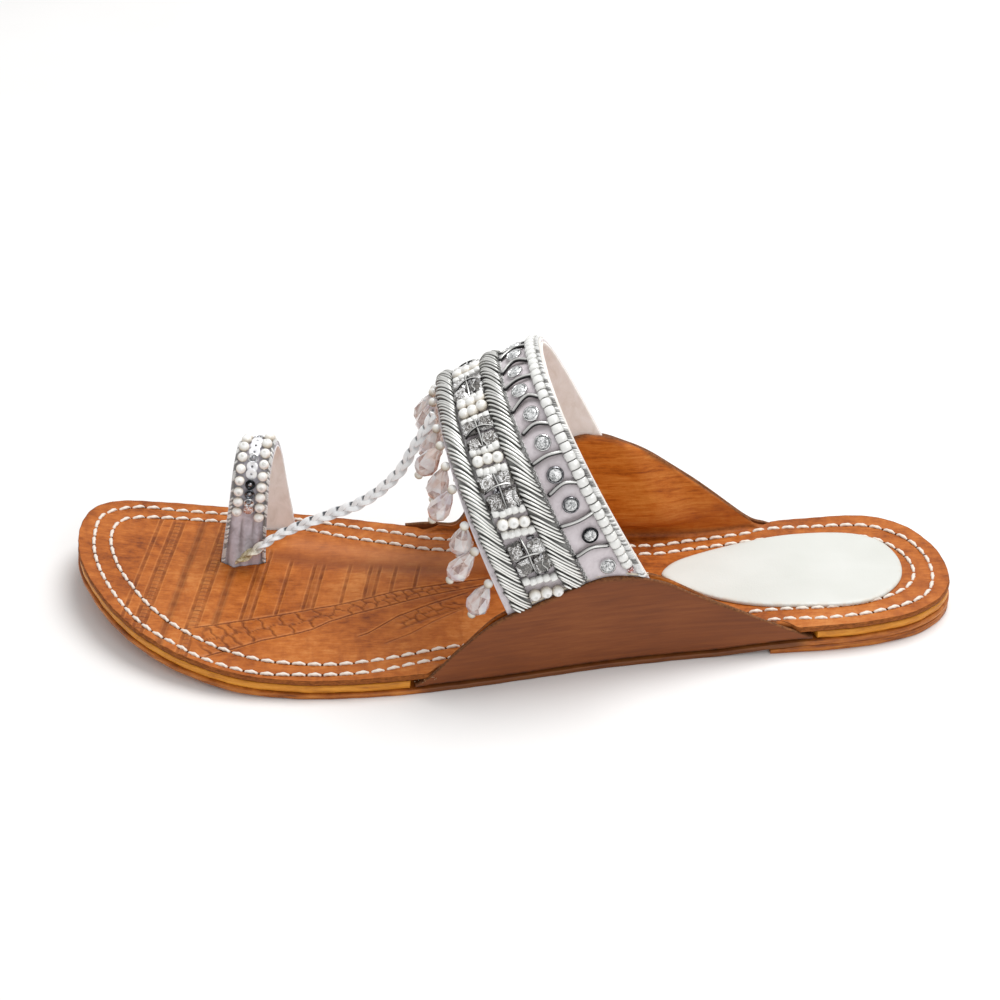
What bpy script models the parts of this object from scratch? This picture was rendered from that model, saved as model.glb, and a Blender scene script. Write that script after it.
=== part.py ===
"""A left kolhapuri sandal: layered leather sole, turned-up side ears, instep band, toe ring, braid and drops.

Sizes are in millimetres, and become metres where a mesh is made. +X runs to the toe, +Y to the outer
side of the foot and +Z up. The sandal stands on z = 0. A side is LATERAL (+1) or MEDIAL (-1).
"""
import math

import bmesh
import bpy
from mathutils import Vector

MM = 0.001
GAP = 0.3  # between pieces that are glued or sewn together
LATERAL, MEDIAL = 1, -1

# Plan of the sole: x, y of the inner (medial) edge, y of the outer (lateral) edge.
SOLE_EDGE = (
    (-125.0, 4.0, 4.0),
    (-124.0, -5.0, 12.5),
    (-121.0, -12.3, 18.3),
    (-117.0, -18.0, 22.3),
    (-111.0, -22.3, 26.2),
    (-103.0, -24.6, 28.9),
    (-92.0, -24.4, 31.0),
    (-78.0, -23.3, 31.7),
    (-60.0, -22.8, 31.9),
    (-40.0, -23.0, 33.2),
    (-20.0, -24.4, 35.6),
    (0.0, -26.6, 39.0),
    (20.0, -29.8, 42.0),
    (35.0, -33.3, 43.5),
    (50.0, -37.6, 44.0),
    (65.0, -41.2, 43.0),
    (80.0, -43.1, 39.8),
    (95.0, -43.8, 32.2),
    (107.0, -43.2, 22.2),
    (115.0, -41.2, 11.6),
    (120.5, -36.7, 1.0),
    (123.8, -30.0, -8.5),
    (125.0, -19.5, -19.5),
)
HEEL_X = SOLE_EDGE[0][0]
TOE_X = SOLE_EDGE[-1][0]
CURVE_STEPS = 8  # points between two rows of a table

# The sole's layers, from the floor up.
OUTSOLE = 1.5
MIDSOLE = 2.3
FOOTBED = 1.6
HEEL_RISE = 2.4
HEEL_RISE_FROM, HEEL_RISE_TO = -50.0, -84.0
TOE_SPRING = 9.0
TOE_SPRING_FROM = 55.0
LIFT_FRONT = -68.0
MIDSOLE_INSET = 0.5
FOOTBED_INSET = 0.3

# The ears: an outer ply whose foot lies between outsole and footbed, and the footbed's own margin inside it.
EAR_REAR, EAR_FRONT = -81.0, 30.0
PLY = 1.2
FACE_INSET = 0.4  # outer face of the ply, in from the sole's edge
EAR_LEAN = {LATERAL: 0.05, MEDIAL: 0.14}
FOOT_TIP, FOOT_DEEP, FOOT_TAPER = 3.0, 10.0, 12.0
EAR_ROOM = 0.6  # between an ear and the edges of the midsole and the footbed
# Round the fold of the outer ply: depth in from its face, height over the outsole.
EAR_FOLD = ((2.0, 0.0), (0.6, 0.3), (0.0, 1.4))
EAR_FOLD_INSIDE = ((PLY + 1.0, MIDSOLE), (PLY + 0.25, MIDSOLE + 0.3), (PLY, MIDSOLE + 0.9))
FOLD_RADIUS = 1.2
FOLD_START, FOLD_SHARE = 6.0, 0.4  # the fold line, in from the sole's edge, and as a share of its width
FOLD_RAMP = (3.0, 14.0)  # the margin starts to turn up, and stands, this far in from an ear's tip
FOLD_ROOM = 1.6  # keeps the half-turned margin off the outer ply
NOTCH_RAMP = (-2.0, -1.0)  # the layers' edges step back for an ear this far before its tip
INNER_PLY_PROUD = 0.2
EAR_STATIONS = 26
EAR_TIP, EAR_FULL = 1.2, 3.8  # the ply's height at its tips, and the height from which its foot is full
WALL_ROWS = 5
FOLD_ROWS = 3
# Top edge of an ear: x, height.
EAR_TOP = {
    LATERAL: (
        (-81.0, 5.0), (-76.0, 7.2), (-66.0, 12.2), (-50.0, 20.6), (-38.0, 27.6), (-26.0, 30.8),
        (-17.0, 30.2), (-3.0, 25.3), (8.0, 21.0), (18.0, 13.0), (25.0, 6.0), (30.0, 2.6),
    ),
    MEDIAL: (
        (-81.0, 6.6), (-73.0, 9.4), (-60.0, 18.0), (-43.0, 31.0), (-33.0, 36.0), (-26.0, 37.6),
        (-18.0, 36.2), (4.0, 21.6), (10.0, 16.6), (13.2, 10.6), (16.0, 8.1), (22.0, 7.2), (30.0, 5.6),
    ),
}

# The instep band, from the plane of its back edge to that of its front edge: x = foot + slope * z + skew * y.
BAND = 2.0
BAND_BACK = {
    "foot": -46.8, "slope": 0.49, "skew": -0.035, "end": 13.5, "spring": (36.0, 40.0), "crown": (3.0, 81.4)
}
BAND_FRONT = {
    "foot": -2.9, "slope": 0.36, "skew": -0.02, "end": 13.0, "spring": (28.0, 28.0), "crown": (3.0, 67.0)
}
SQUARE = 2.5  # 2 is an ellipse, more is squarer
HALF_WIDTH = 30.0  # of the band, near enough to find where its planes cut the ears
WALL_STEPS, ARCH_STEPS = 8, 24
BAND_ROWS, BAND_COLUMNS = 46, 6
POCKET_ROOM = 4.0  # the inner ply stays clear of the band's end this far past its edges
POCKET_RAMP = 6.0
POCKET_FLOOR, POCKET_FULL = 8.6, 11.0

# The toe ring's outer face, from the foot between the toes over to the inner side: x, y, height, width.
RING = 1.8
RING_ROUTE = (
    (77.5, -14.0, 5.9, 12.4),
    (76.3, -13.5, 16.0, 11.4),
    (74.8, -13.7, 27.0, 10.5),
    (73.5, -15.9, 36.0, 10.2),
    (72.4, -20.3, 40.2, 10.2),
    (71.5, -25.0, 40.8, 10.2),
    (70.9, -29.5, 37.4, 10.2),
    (70.2, -32.6, 30.6, 10.2),
    (69.3, -33.8, 18.0, 10.6),
    (68.3, -33.6, 5.5, 11.6),
)
RING_ROWS = 30
RING_CROWN = 0.4
# Across the ring: share of its width, share of its crown.
RING_SECTION = ((-0.5, 0.0), (-0.2, 1.0), (0.2, 1.0), (0.5, 0.0))
SLIT_ROOM, SLIT_REACH = 0.4, 4.0

# The braid, from the toe ring's foot up to the band: x, y, height.
BRAID_WIDTH, BRAID_THICK = 3.8, 2.2
BRAID_ROUTE = (
    (79.6, -12.1, 8.5),
    (72.5, -10.0, 14.4),
    (66.5, -8.3, 19.7),
    (58.3, -5.7, 25.1),
    (50.5, -3.2, 29.8),
    (44.0, -1.1, 33.7),
    (37.5, 1.0, 39.5),
    (31.8, 2.8, 46.8),
    (27.6, 4.2, 55.5),
    (24.3, 5.4, 62.0),
    (22.4, 6.2, 66.9),
)
BRAID_ROWS, BRAID_SIDES = 30, 8
BRAID_TIP, BRAID_TAPER = 0.35, 5  # share of its width at the pointed end, and rows over which it widens

# Drops along the band's front edge: share of the way over the band, lean to the toe, lean to the outer side.
DROPS = (
    (0.136, 0.42, 0.0), (0.204, 0.62, 0.05), (0.253, 0.12, -0.2), (0.320, 0.50, 0.0), (0.364, 0.32, 0.0),
    (0.409, 0.55, 0.0), (0.453, 0.40, 0.0), (0.540, 0.45, 0.0), (0.590, 0.60, 0.0), (0.635, 0.35, 0.0),
    (0.680, 0.55, 0.0), (0.725, 0.30, 0.15), (0.770, 0.55, -0.05), (0.815, 0.30, -0.3), (0.860, 0.50, 0.0),
)
# Outline of a drop: distance along it, radius. Seed bead, cut crystal, end bead.
DROP_OUTLINE = (
    (0.0, 0.5), (0.5, 1.2), (1.7, 1.2), (2.3, 0.7), (4.6, 1.8), (8.0, 2.7), (10.3, 2.2), (11.3, 0.7),
    (11.8, 1.1), (12.9, 1.1), (13.5, 0.5),
)
DROP_SIDES = 6
DROP_OUT = Vector((0.9, 0.0, -0.4))  # from the band's edge to a drop's seed bead
DROP_SEED = 1.2  # radius of the seed bead, whose middle hangs level with the band's edge

# The heel pad's outline: x, y.
PAD = 0.9
PAD_EDGE = (
    (-43.0, -1.0), (-47.5, -6.0), (-56.0, -9.8), (-67.0, -12.3), (-80.0, -13.8), (-93.0, -14.2),
    (-102.5, -12.4), (-108.5, -7.5), (-111.2, 1.0), (-110.2, 9.0), (-106.5, 15.0), (-100.5, 19.7),
    (-92.0, 21.8), (-80.0, 21.4), (-68.0, 18.8), (-57.0, 13.4), (-48.0, 6.6), (-43.8, 2.2),
)


def smooth(value, low, high):
    """0 at low, 1 at high, with no corner at either."""
    share = min(1.0, max(0.0, (value - low) / (high - low)))
    return share * share * (3 - 2 * share)


def between(first, second, share):
    return first + (second - first) * share


def curve_point(before, start, end, after, share):
    """A point of the Catmull-Rom curve from start to end."""
    square, cube = share * share, share * share * share
    return (
        start * (1.5 * cube - 2.5 * square + 1)
        + end * (2 * square - 1.5 * cube + 0.5 * share)
        + before * (square - 0.5 * cube - 0.5 * share)
        + after * (0.5 * cube - 0.5 * square)
    )


def curve(points, closed=False, steps=CURVE_STEPS):
    """A smooth curve through the points, which may have any number of values each."""
    points = [Vector(point) for point in points]
    count = len(points)
    spans = count if closed else count - 1
    drawn = []
    for i in range(spans):
        before = points[i - 1] if closed or i else 2 * points[0] - points[1]
        end = points[(i + 1) % count]
        after = points[(i + 2) % count] if closed or i + 2 < count else 2 * end - points[i]
        drawn += [curve_point(before, points[i], end, after, step / steps) for step in range(steps)]
    return drawn if closed else drawn + [points[-1]]


def spaced(points, count):
    """The same line, drawn again with count points at even distances."""
    reached = [0.0]
    for first, second in zip(points, points[1:]):
        reached.append(reached[-1] + (second - first).length)
    drawn, at = [], 0
    for i in range(count):
        wanted = reached[-1] * i / (count - 1)
        while at < len(points) - 2 and reached[at + 1] < wanted:
            at += 1
        share = (wanted - reached[at]) / (reached[at + 1] - reached[at])
        drawn.append(points[at].lerp(points[at + 1], share))
    return drawn


def height_at(table, x):
    """The second column of a table at x, on straight lines between its rows."""
    for (low, first), (high, second) in zip(table, table[1:]):
        if x <= high:
            return between(first, second, max(0.0, (x - low) / (high - low)))
    return table[-1][1]


LATERAL_POINTS = [(x, lateral) for x, medial, lateral in SOLE_EDGE]
MEDIAL_POINTS = [(x, medial) for x, medial, lateral in SOLE_EDGE[1:-1]]
SOLE_LOOP = curve(LATERAL_POINTS + MEDIAL_POINTS[::-1], closed=True)
TOE_INDEX = (len(SOLE_EDGE) - 1) * CURVE_STEPS
SIDE_LINE = {
    LATERAL: SOLE_LOOP[: TOE_INDEX + 1],
    MEDIAL: [SOLE_LOOP[0]] + SOLE_LOOP[: TOE_INDEX - 1 : -1],
}


def edge_y(side, x):
    return height_at(SIDE_LINE[side], x)


def sole_under(x):
    """Height of the outsole's underside."""
    spring = max(0.0, (x - TOE_SPRING_FROM) / (TOE_X - TOE_SPRING_FROM))
    return HEEL_RISE * smooth(x, HEEL_RISE_FROM, HEEL_RISE_TO) + TOE_SPRING * spring * spring


def midsole_under(x):
    return sole_under(x) + OUTSOLE + GAP


def footbed_under(x):
    return midsole_under(x) + MIDSOLE + GAP


def footbed_top(x):
    return footbed_under(x) + FOOTBED


def ear_reach(x):
    """How far x is inside the ears' stretch, below 0 outside it."""
    return min(x - EAR_REAR, EAR_FRONT - x)


def ply_foot(x):
    """How deep the outer ply's foot reaches in under the footbed."""
    return between(FOOT_TIP, FOOT_DEEP, smooth(ear_reach(x), 0.0, FOOT_TAPER))


def wall_y(side, x, z, depth):
    """A point of an ear's wall, depth in from its outer face."""
    lean = EAR_LEAN[side] * (z - midsole_under(x))
    return edge_y(side, x) - side * (FACE_INSET + depth - lean)


def plane_x(edge, y, z):
    """x of an edge of the band, which lies in a slanting plane."""
    return edge["foot"] + edge["slope"] * z + edge["skew"] * y


def pocket(side, x, z):
    """1 where the inner ply makes room for the band's end, 0 where it lies on the outer ply."""
    y = edge_y(side, x)
    back = plane_x(BAND_BACK, y, z) - POCKET_ROOM
    front = plane_x(BAND_FRONT, y, z) + POCKET_ROOM
    along = smooth(x, back - POCKET_RAMP, back) * smooth(x, front + POCKET_RAMP, front)
    return along * smooth(z, POCKET_FLOOR, POCKET_FULL)


def inner_face(side, x, z):
    """Depth of the inner ply's face that the foot touches."""
    return PLY + GAP + PLY + (BAND + GAP) * pocket(side, x, z)


def sole_stations():
    """x of the rungs across the sole: close at both rounded ends and at the ears' tips."""
    heel = [HEEL_X + 28.0 * (1 - math.cos(math.pi / 2 * i / 8)) for i in range(8)]
    rear = [-97.0, -92.5, -88.0, EAR_REAR - 2.5, EAR_REAR - 1.0]
    ears = [between(EAR_REAR + 1.0, EAR_FRONT - 1.0, i / 26) for i in range(27)]
    front = [EAR_FRONT + 1.0, EAR_FRONT + 2.5, 37.0, 44.0, 51.0, 58.0, 65.0, 72.0, 79.0, 86.0]
    toe = [93.0 + (TOE_X - 93.0) * math.sin(math.pi / 2 * i / 10) for i in range(11)]
    return heel + rear + ears + front + toe


STATIONS = sole_stations()
# Round the sole once: heel tip, outer side, toe tip, inner side.
ROUND = [(LATERAL, x) for x in STATIONS] + [(MEDIAL, x) for x in STATIONS[-2:0:-1]]


def round_points():
    """The sole's edge at each station, with the direction straight out of it."""
    points = [Vector((x, edge_y(side, x))) for side, x in ROUND]
    outward = []
    for i, point in enumerate(points):
        along = points[(i + 1) % len(points)] - points[i - 1]
        outward.append(Vector((-along.y, along.x)).normalized())
    return points, outward


EDGE, OUTWARD = round_points()


def material(name, colour, roughness, metallic=0.0):
    made = bpy.data.materials.new(name)
    made.use_nodes = True
    shader = made.node_tree.nodes["Principled BSDF"]
    shader.inputs["Base Color"].default_value = (*colour, 1.0)
    shader.inputs["Roughness"].default_value = roughness
    shader.inputs["Metallic"].default_value = metallic
    return made


def solid(name, points, faces, finish):
    """An object of the given faces, its points in millimetres."""
    mesh = bpy.data.meshes.new(name)
    mesh.from_pydata([Vector(point) * MM for point in points], [], faces)
    builder = bmesh.new()
    builder.from_mesh(mesh)
    bmesh.ops.recalc_face_normals(builder, faces=builder.faces)
    builder.to_mesh(mesh)
    builder.free()
    mesh.materials.append(finish)
    mesh.shade_smooth()
    mesh.set_sharp_from_angle(angle=math.radians(35))
    made = bpy.data.objects.new(name, mesh)
    bpy.context.collection.objects.link(made)
    return made


def ladder(first, second):
    """Faces between the two sides of a closed round of points, rung by rung from the heel tip."""
    count = len(first)
    half = count // 2
    faces = [(first[0], first[1], first[-1])]
    for i in range(1, half - 1):
        faces.append((first[i], first[i + 1], first[count - i - 1], first[count - i]))
    faces.append((first[half - 1], first[half], first[half + 1]))
    return faces + [tuple(second[first.index(corner)] for corner in reversed(face)) for face in faces]


def plate(name, inset, under, thick, finish, front=None):
    """A flat layer of the sole, inset from its edge. It may end short of the toe, at front."""
    if front is None:
        places = [EDGE[i] - OUTWARD[i] * inset(x) for i, (side, x) in enumerate(ROUND)]
    else:
        kept = [i for i, (side, x) in enumerate(ROUND) if x < front]
        places = [EDGE[i] - OUTWARD[i] * inset(ROUND[i][1]) for i in kept]
        turn = STATIONS.index(max(x for x in STATIONS if x < front)) + 1
        places.insert(turn, Vector((front, edge_y(LATERAL, front) - inset(front))))
        places.insert(turn + 1, Vector((front, 0.0)))
        places.insert(turn + 2, Vector((front, edge_y(MEDIAL, front) + inset(front))))
    low = [(place.x, place.y, under(place.x)) for place in places]
    high = [(place.x, place.y, under(place.x) + thick(place.x)) for place in places]
    count = len(places)
    faces = ladder(list(range(count)), list(range(count, 2 * count)))
    faces += [(i, (i + 1) % count, count + (i + 1) % count, count + i) for i in range(count)]
    return solid(name, low + high, faces, finish)


def shell(name, outer, inner, finish):
    """A curved wall between two grids of points of the same size, closed all round."""
    rows, columns = len(outer), len(outer[0])
    points = [point for row in outer for point in row] + [point for row in inner for point in row]
    back = rows * columns
    faces = []
    for i in range(rows - 1):
        for j in range(columns - 1):
            near = i * columns + j
            quad = (near, near + 1, near + columns + 1, near + columns)
            faces += [quad, tuple(back + corner for corner in reversed(quad))]
    rim = [j for j in range(columns)]
    rim += [i * columns + columns - 1 for i in range(1, rows)]
    rim += [(rows - 1) * columns + j for j in range(columns - 2, -1, -1)]
    rim += [i * columns for i in range(rows - 2, 0, -1)]
    for first, second in zip(rim, rim[1:] + rim[:1]):
        faces.append((second, first, back + first, back + second))
    return solid(name, points, faces, finish)


def offset(grid, distance):
    """The grid moved along its own normals, towards the foot."""
    moved = []
    for i, row in enumerate(grid):
        above, below = grid[max(i - 1, 0)], grid[min(i + 1, len(grid) - 1)]
        moved.append([])
        for j, point in enumerate(row):
            across = row[min(j + 1, len(row) - 1)] - row[max(j - 1, 0)]
            normal = across.cross(below[j] - above[j]).normalized()
            moved[-1].append(point + normal * distance)
    return moved


def fold_share(x):
    """0 where the footbed's margin lies flat, 1 where it stands up as an ear's inner ply."""
    return smooth(ear_reach(x), *FOLD_RAMP)


def margin_path(index):
    """The footbed's top face from its fold line out to its edge, and its thickness there."""
    side, x = ROUND[index]
    upright = fold_share(x)
    top = footbed_top(x)
    fold = min(FOLD_START, FOLD_SHARE * (edge_y(LATERAL, x) - edge_y(MEDIAL, x)) + 1.0)
    inset = between(FOOTBED_INSET, FACE_INSET + PLY + EAR_ROOM, smooth(ear_reach(x), *NOTCH_RAMP))
    count = FOLD_ROWS + WALL_ROWS
    room = FOLD_ROOM * upright * (1 - upright)
    ear_height = max(height_at(EAR_TOP[side], x) + INNER_PLY_PROUD, top + FOLD_RADIUS + 1.0)
    points, thickness = [], []
    for k in range(count + 1):
        out = between(fold, inset, k / count)
        flat = EDGE[index] - OUTWARD[index] * out
        flat = Vector((flat.x, flat.y, footbed_top(flat.x)))
        if k <= FOLD_ROWS:
            turn = math.pi / 2 * k / FOLD_ROWS
            height = top + FOLD_RADIUS * (1 - math.cos(turn))
            depth = inner_face(side, x, height) + FOLD_RADIUS * (1 - math.sin(turn))
        else:
            height = between(top + FOLD_RADIUS, ear_height, (k - FOLD_ROWS) / WALL_ROWS)
            depth = inner_face(side, x, height)
        standing = Vector((x, wall_y(side, x, height, depth + room), height))
        points.append(flat.lerp(standing, upright))
        thickness.append(between(FOOTBED, between(FOOTBED, PLY, min(1.0, k / FOLD_ROWS)), upright))
    return points, thickness


def footbed(finish):
    """The top leather: a plate whose margins turn up at both sides as the ears' inner plies."""
    top, under = [], []
    for index, (side, x) in enumerate(ROUND):
        path, thickness = margin_path(index)
        upright = fold_share(x)
        out = Vector((*OUTWARD[index], 0.0)).lerp(Vector((0.0, side, 0.0)), upright).normalized()
        top.append(path)
        under.append([])
        for k, point in enumerate(path):
            if k == 0:
                under[-1].append(Vector((point.x, point.y, footbed_under(point.x))))
                continue
            along = path[min(k + 1, len(path) - 1)] - path[k - 1]
            run, rise = along.dot(out), along.z
            if upright == 0.0:
                run, rise = 1.0, 0.0
            size = math.hypot(run, rise)
            under[-1].append(point + (out * rise - Vector((0.0, 0.0, run))) / size * thickness[k])
    count, steps = len(ROUND), len(top[0])
    points = [point for path in top for point in path] + [point for path in under for point in path]
    below = count * steps
    faces = ladder([i * steps for i in range(count)], [below + i * steps for i in range(count)])
    for i in range(count):
        following = (i + 1) % count
        for k in range(steps - 1):
            quad = (i * steps + k, following * steps + k, following * steps + k + 1, i * steps + k + 1)
            faces += [quad, tuple(below + corner for corner in reversed(quad))]
        first, second = i * steps + steps - 1, following * steps + steps - 1
        faces.append((second, first, below + first, below + second))
    return solid("footbed", points, faces, finish)


def ear(name, side, finish):
    """An ear's outer ply: its foot, the fold at the sole's edge and its wall."""
    outer, inner = [], []
    for i in range(EAR_STATIONS + 1):
        x = between(EAR_REAR, EAR_FRONT, i / EAR_STATIONS)
        base = midsole_under(x)
        foot = ply_foot(x)
        top = max(height_at(EAR_TOP[side], x), base + EAR_TIP)
        flat = min(1.0, (top - base) / EAR_FULL)
        out = [(depth, base + rise * flat) for depth, rise in ((foot, 0.0), *EAR_FOLD)]
        back = [(depth, base + rise * flat) for depth, rise in ((foot, MIDSOLE), *EAR_FOLD_INSIDE)]
        out += [(0.0, between(out[-1][1], top, row / WALL_ROWS)) for row in range(1, WALL_ROWS + 1)]
        back += [(PLY, between(back[-1][1], top, row / WALL_ROWS)) for row in range(1, WALL_ROWS + 1)]
        outer.append([Vector((x, wall_y(side, x, z, depth), z)) for depth, z in out])
        inner.append([Vector((x, wall_y(side, x, z, depth), z)) for depth, z in back])
    return shell(name, outer, inner, finish)


def band_section(share):
    """The band's outer face at a share of its width, from its outer end over the foot to its inner end."""
    edge = {key: between(BAND_BACK[key], BAND_FRONT[key], share) for key in ("foot", "slope", "skew", "end")}
    crown_y, crown_z = (between(a, b, share) for a, b in zip(BAND_BACK["crown"], BAND_FRONT["crown"]))
    springs = [between(a, b, share) for a, b in zip(BAND_BACK["spring"], BAND_FRONT["spring"])]
    points = []
    for side, spring in zip((LATERAL, MEDIAL), springs):
        half = []
        for i in range(WALL_STEPS + 1):
            z = between(edge["end"], spring, i / WALL_STEPS)
            x = plane_x(edge, side * HALF_WIDTH, z)
            x = plane_x(edge, wall_y(side, x, z, PLY + GAP), z)
            half.append(Vector((x, wall_y(side, x, z, PLY + GAP), z)))
        wall = half[-1].y
        for i in range(1, ARCH_STEPS + 1):
            turn = math.pi / 2 * i / ARCH_STEPS
            z = between(spring, crown_z, math.sin(turn) ** (2 / SQUARE))
            y = between(crown_y, wall, math.cos(turn) ** (2 / SQUARE))
            y += side * EAR_LEAN[side] * (z - spring) * math.cos(turn) ** 2
            half.append(Vector((plane_x(edge, y, z), y, z)))
        points += half if side == LATERAL else half[-2::-1]
    return spaced(points, BAND_ROWS)


def band_grid():
    sections = [band_section(j / (BAND_COLUMNS - 1)) for j in range(BAND_COLUMNS)]
    return [[section[i] for section in sections] for i in range(BAND_ROWS)]


def instep_band(finish):
    outer = band_grid()
    return shell("instep_band", outer, offset(outer, BAND), finish)


def ring_frames():
    """Middle, width direction, outward direction and width of the toe ring along its way."""
    route = spaced(curve(RING_ROUTE), RING_ROWS)
    frames = []
    for i, row in enumerate(route):
        along = (route[min(i + 1, RING_ROWS - 1)] - route[max(i - 1, 0)]).xyz.normalized()
        out = Vector((0.0, -along.z, along.y)) * -1
        out = (out - along * out.dot(along)).normalized()
        frames.append((row.xyz, along.cross(out).normalized(), out, row[3]))
    return frames


def toe_ring(finish):
    outer, inner = [], []
    for middle, across, out, width in ring_frames():
        outer.append([])
        inner.append([])
        for share, rise in RING_SECTION:
            point = middle + across * share * width + out * (rise - 1) * RING_CROWN
            outer[-1].append(point)
            inner[-1].append(point - out * RING)
    return shell("toe_ring", outer, inner, finish)


def slit(name, frame):
    """A cutter for the slit that one foot of the toe ring goes down through."""
    middle, across, out, width = frame
    along = Vector((across.x, across.y, 0.0)).normalized() * (width / 2 + SLIT_ROOM)
    through = Vector((out.x, out.y, 0.0)).normalized()
    near = through * (SLIT_ROOM - RING_CROWN / 2)
    far = through * -(RING + RING_CROWN + SLIT_ROOM)
    corners = [middle + a + b for a, b in ((along, near), (-along, near), (-along, far), (along, far))]
    points = [(corner.x, corner.y, corner.z + z) for z in (-SLIT_REACH, SLIT_REACH) for corner in corners]
    faces = [(0, 1, 2, 3), (7, 6, 5, 4)] + [(i, (i + 1) % 4, 4 + (i + 1) % 4, 4 + i) for i in range(4)]
    cutter = solid(name, points, faces, material(name, (0.5, 0.5, 0.5), 0.5))
    cutter.hide_render = True
    cutter.display_type = "WIRE"
    return cutter


def cut(target, cutter):
    boolean = target.modifiers.new(cutter.name, "BOOLEAN")
    boolean.operation = "DIFFERENCE"
    boolean.solver = "EXACT"
    boolean.object = cutter


def tube(name, middles, radii, sides, up, finish):
    """A closed tube round a line of points. radii gives its half width and half thickness at each."""
    points = []
    for i, middle in enumerate(middles):
        along = (middles[min(i + 1, len(middles) - 1)] - middles[max(i - 1, 0)]).normalized()
        across = along.cross(up).normalized()
        rise = across.cross(along)
        for k in range(sides):
            turn = 2 * math.pi * k / sides
            sideways = across * radii[i][0] * math.cos(turn)
            points.append(middle + sideways + rise * radii[i][1] * math.sin(turn))
    faces = [tuple(range(sides)), tuple(range(len(points) - 1, len(points) - sides - 1, -1))]
    for i in range(len(middles) - 1):
        for k in range(sides):
            near, following = i * sides + k, i * sides + (k + 1) % sides
            faces.append((near, near + sides, following + sides, following))
    return solid(name, points, faces, finish)


def braid(finish):
    middles = [point.xyz for point in spaced(curve(BRAID_ROUTE), BRAID_ROWS)]
    radii = []
    for i in range(BRAID_ROWS):
        taper = between(BRAID_TIP, 1.0, smooth(i, 0, BRAID_TAPER))
        radii.append((BRAID_WIDTH / 2 * taper, BRAID_THICK / 2 * taper))
    return tube("braid", middles, radii, BRAID_SIDES, Vector((0.0, 0.0, 1.0)), finish)


def drop(name, share, forward_lean, side_lean, finish):
    """A crystal drop on the band's front edge, between two small beads."""
    edge = [row[-1] for row in band_grid()]
    inside = [row[-1] for row in offset(band_grid(), BAND)]
    place = share * (BAND_ROWS - 1)
    low = int(place)
    point = edge[low].lerp(edge[low + 1], place - low)
    point = (point + inside[low].lerp(inside[low + 1], place - low)) / 2
    start = point + DROP_OUT.normalized() * (GAP + DROP_SEED)
    fall = Vector((forward_lean, side_lean, -math.sqrt(1 - forward_lean**2 - side_lean**2)))
    middles = [start + fall * (along - DROP_SEED) for along, radius in DROP_OUTLINE]
    radii = [(radius, radius) for along, radius in DROP_OUTLINE]
    return tube(name, middles, radii, DROP_SIDES, Vector((0.0, 1.0, 0.0)), finish)


def heel_pad(finish):
    edge = curve(PAD_EDGE, closed=True, steps=3)
    low = [(x, y, footbed_top(x) + GAP) for x, y in edge]
    high = [(x, y, z + PAD) for x, y, z in low]
    count = len(edge)
    faces = ladder(list(range(count)), list(range(count, 2 * count)))
    faces += [(i, (i + 1) % count, count + (i + 1) % count, count + i) for i in range(count)]
    return solid("heel_pad", low + high, faces, finish)


def midsole_inset(x):
    """The midsole is cut back where the ears' feet lie."""
    cut_back = FACE_INSET + ply_foot(x) + EAR_ROOM
    return between(MIDSOLE_INSET, cut_back, smooth(ear_reach(x), *NOTCH_RAMP))


def clear_scene():
    for existing in list(bpy.data.objects):
        bpy.data.objects.remove(existing)


def main():
    clear_scene()
    edge_leather = material("edge_leather", (0.36, 0.16, 0.06), 0.55)
    ochre_leather = material("ochre_leather", (0.58, 0.30, 0.06), 0.6)
    tan_leather = material("tan_leather", (0.50, 0.19, 0.05), 0.35)
    ear_leather = material("ear_leather", (0.24, 0.09, 0.04), 0.45)
    satin = material("satin", (0.62, 0.56, 0.60), 0.5)
    white_leather = material("white_leather", (0.85, 0.85, 0.82), 0.35)
    crystal = material("crystal", (0.85, 0.74, 0.70), 0.1)

    plate("outsole", lambda x: 0.0, sole_under, lambda x: OUTSOLE, edge_leather)
    plate("heel_lift", lambda x: 0.2, lambda x: 0.0, lambda x: sole_under(x) - GAP, edge_leather, LIFT_FRONT)
    plate("midsole", midsole_inset, midsole_under, lambda x: MIDSOLE, ochre_leather)
    top_leather = footbed(tan_leather)
    frames = ring_frames()
    cut(top_leather, slit("slit_outer", frames[0]))
    cut(top_leather, slit("slit_inner", frames[-1]))
    heel_pad(white_leather)
    ear("ear_lateral", LATERAL, ear_leather)
    ear("ear_medial", MEDIAL, ear_leather)
    instep_band(satin)
    toe_ring(satin)
    braid(white_leather)
    for number, (share, forward_lean, side_lean) in enumerate(DROPS, 1):
        drop(f"drop_{number:02d}", share, forward_lean, side_lean, crystal)


main()
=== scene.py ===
"""Looks of a left kolhapuri sandal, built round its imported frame.

Sizes are in millimetres and become metres where a mesh is made. +X runs to the toe, +Y to the outer
side of the foot and +Z up. A side is LATERAL (+1) or MEDIAL (-1).
"""
import math

import bmesh
import bpy
import numpy as np
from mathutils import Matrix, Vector
from mathutils.kdtree import KDTree


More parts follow.
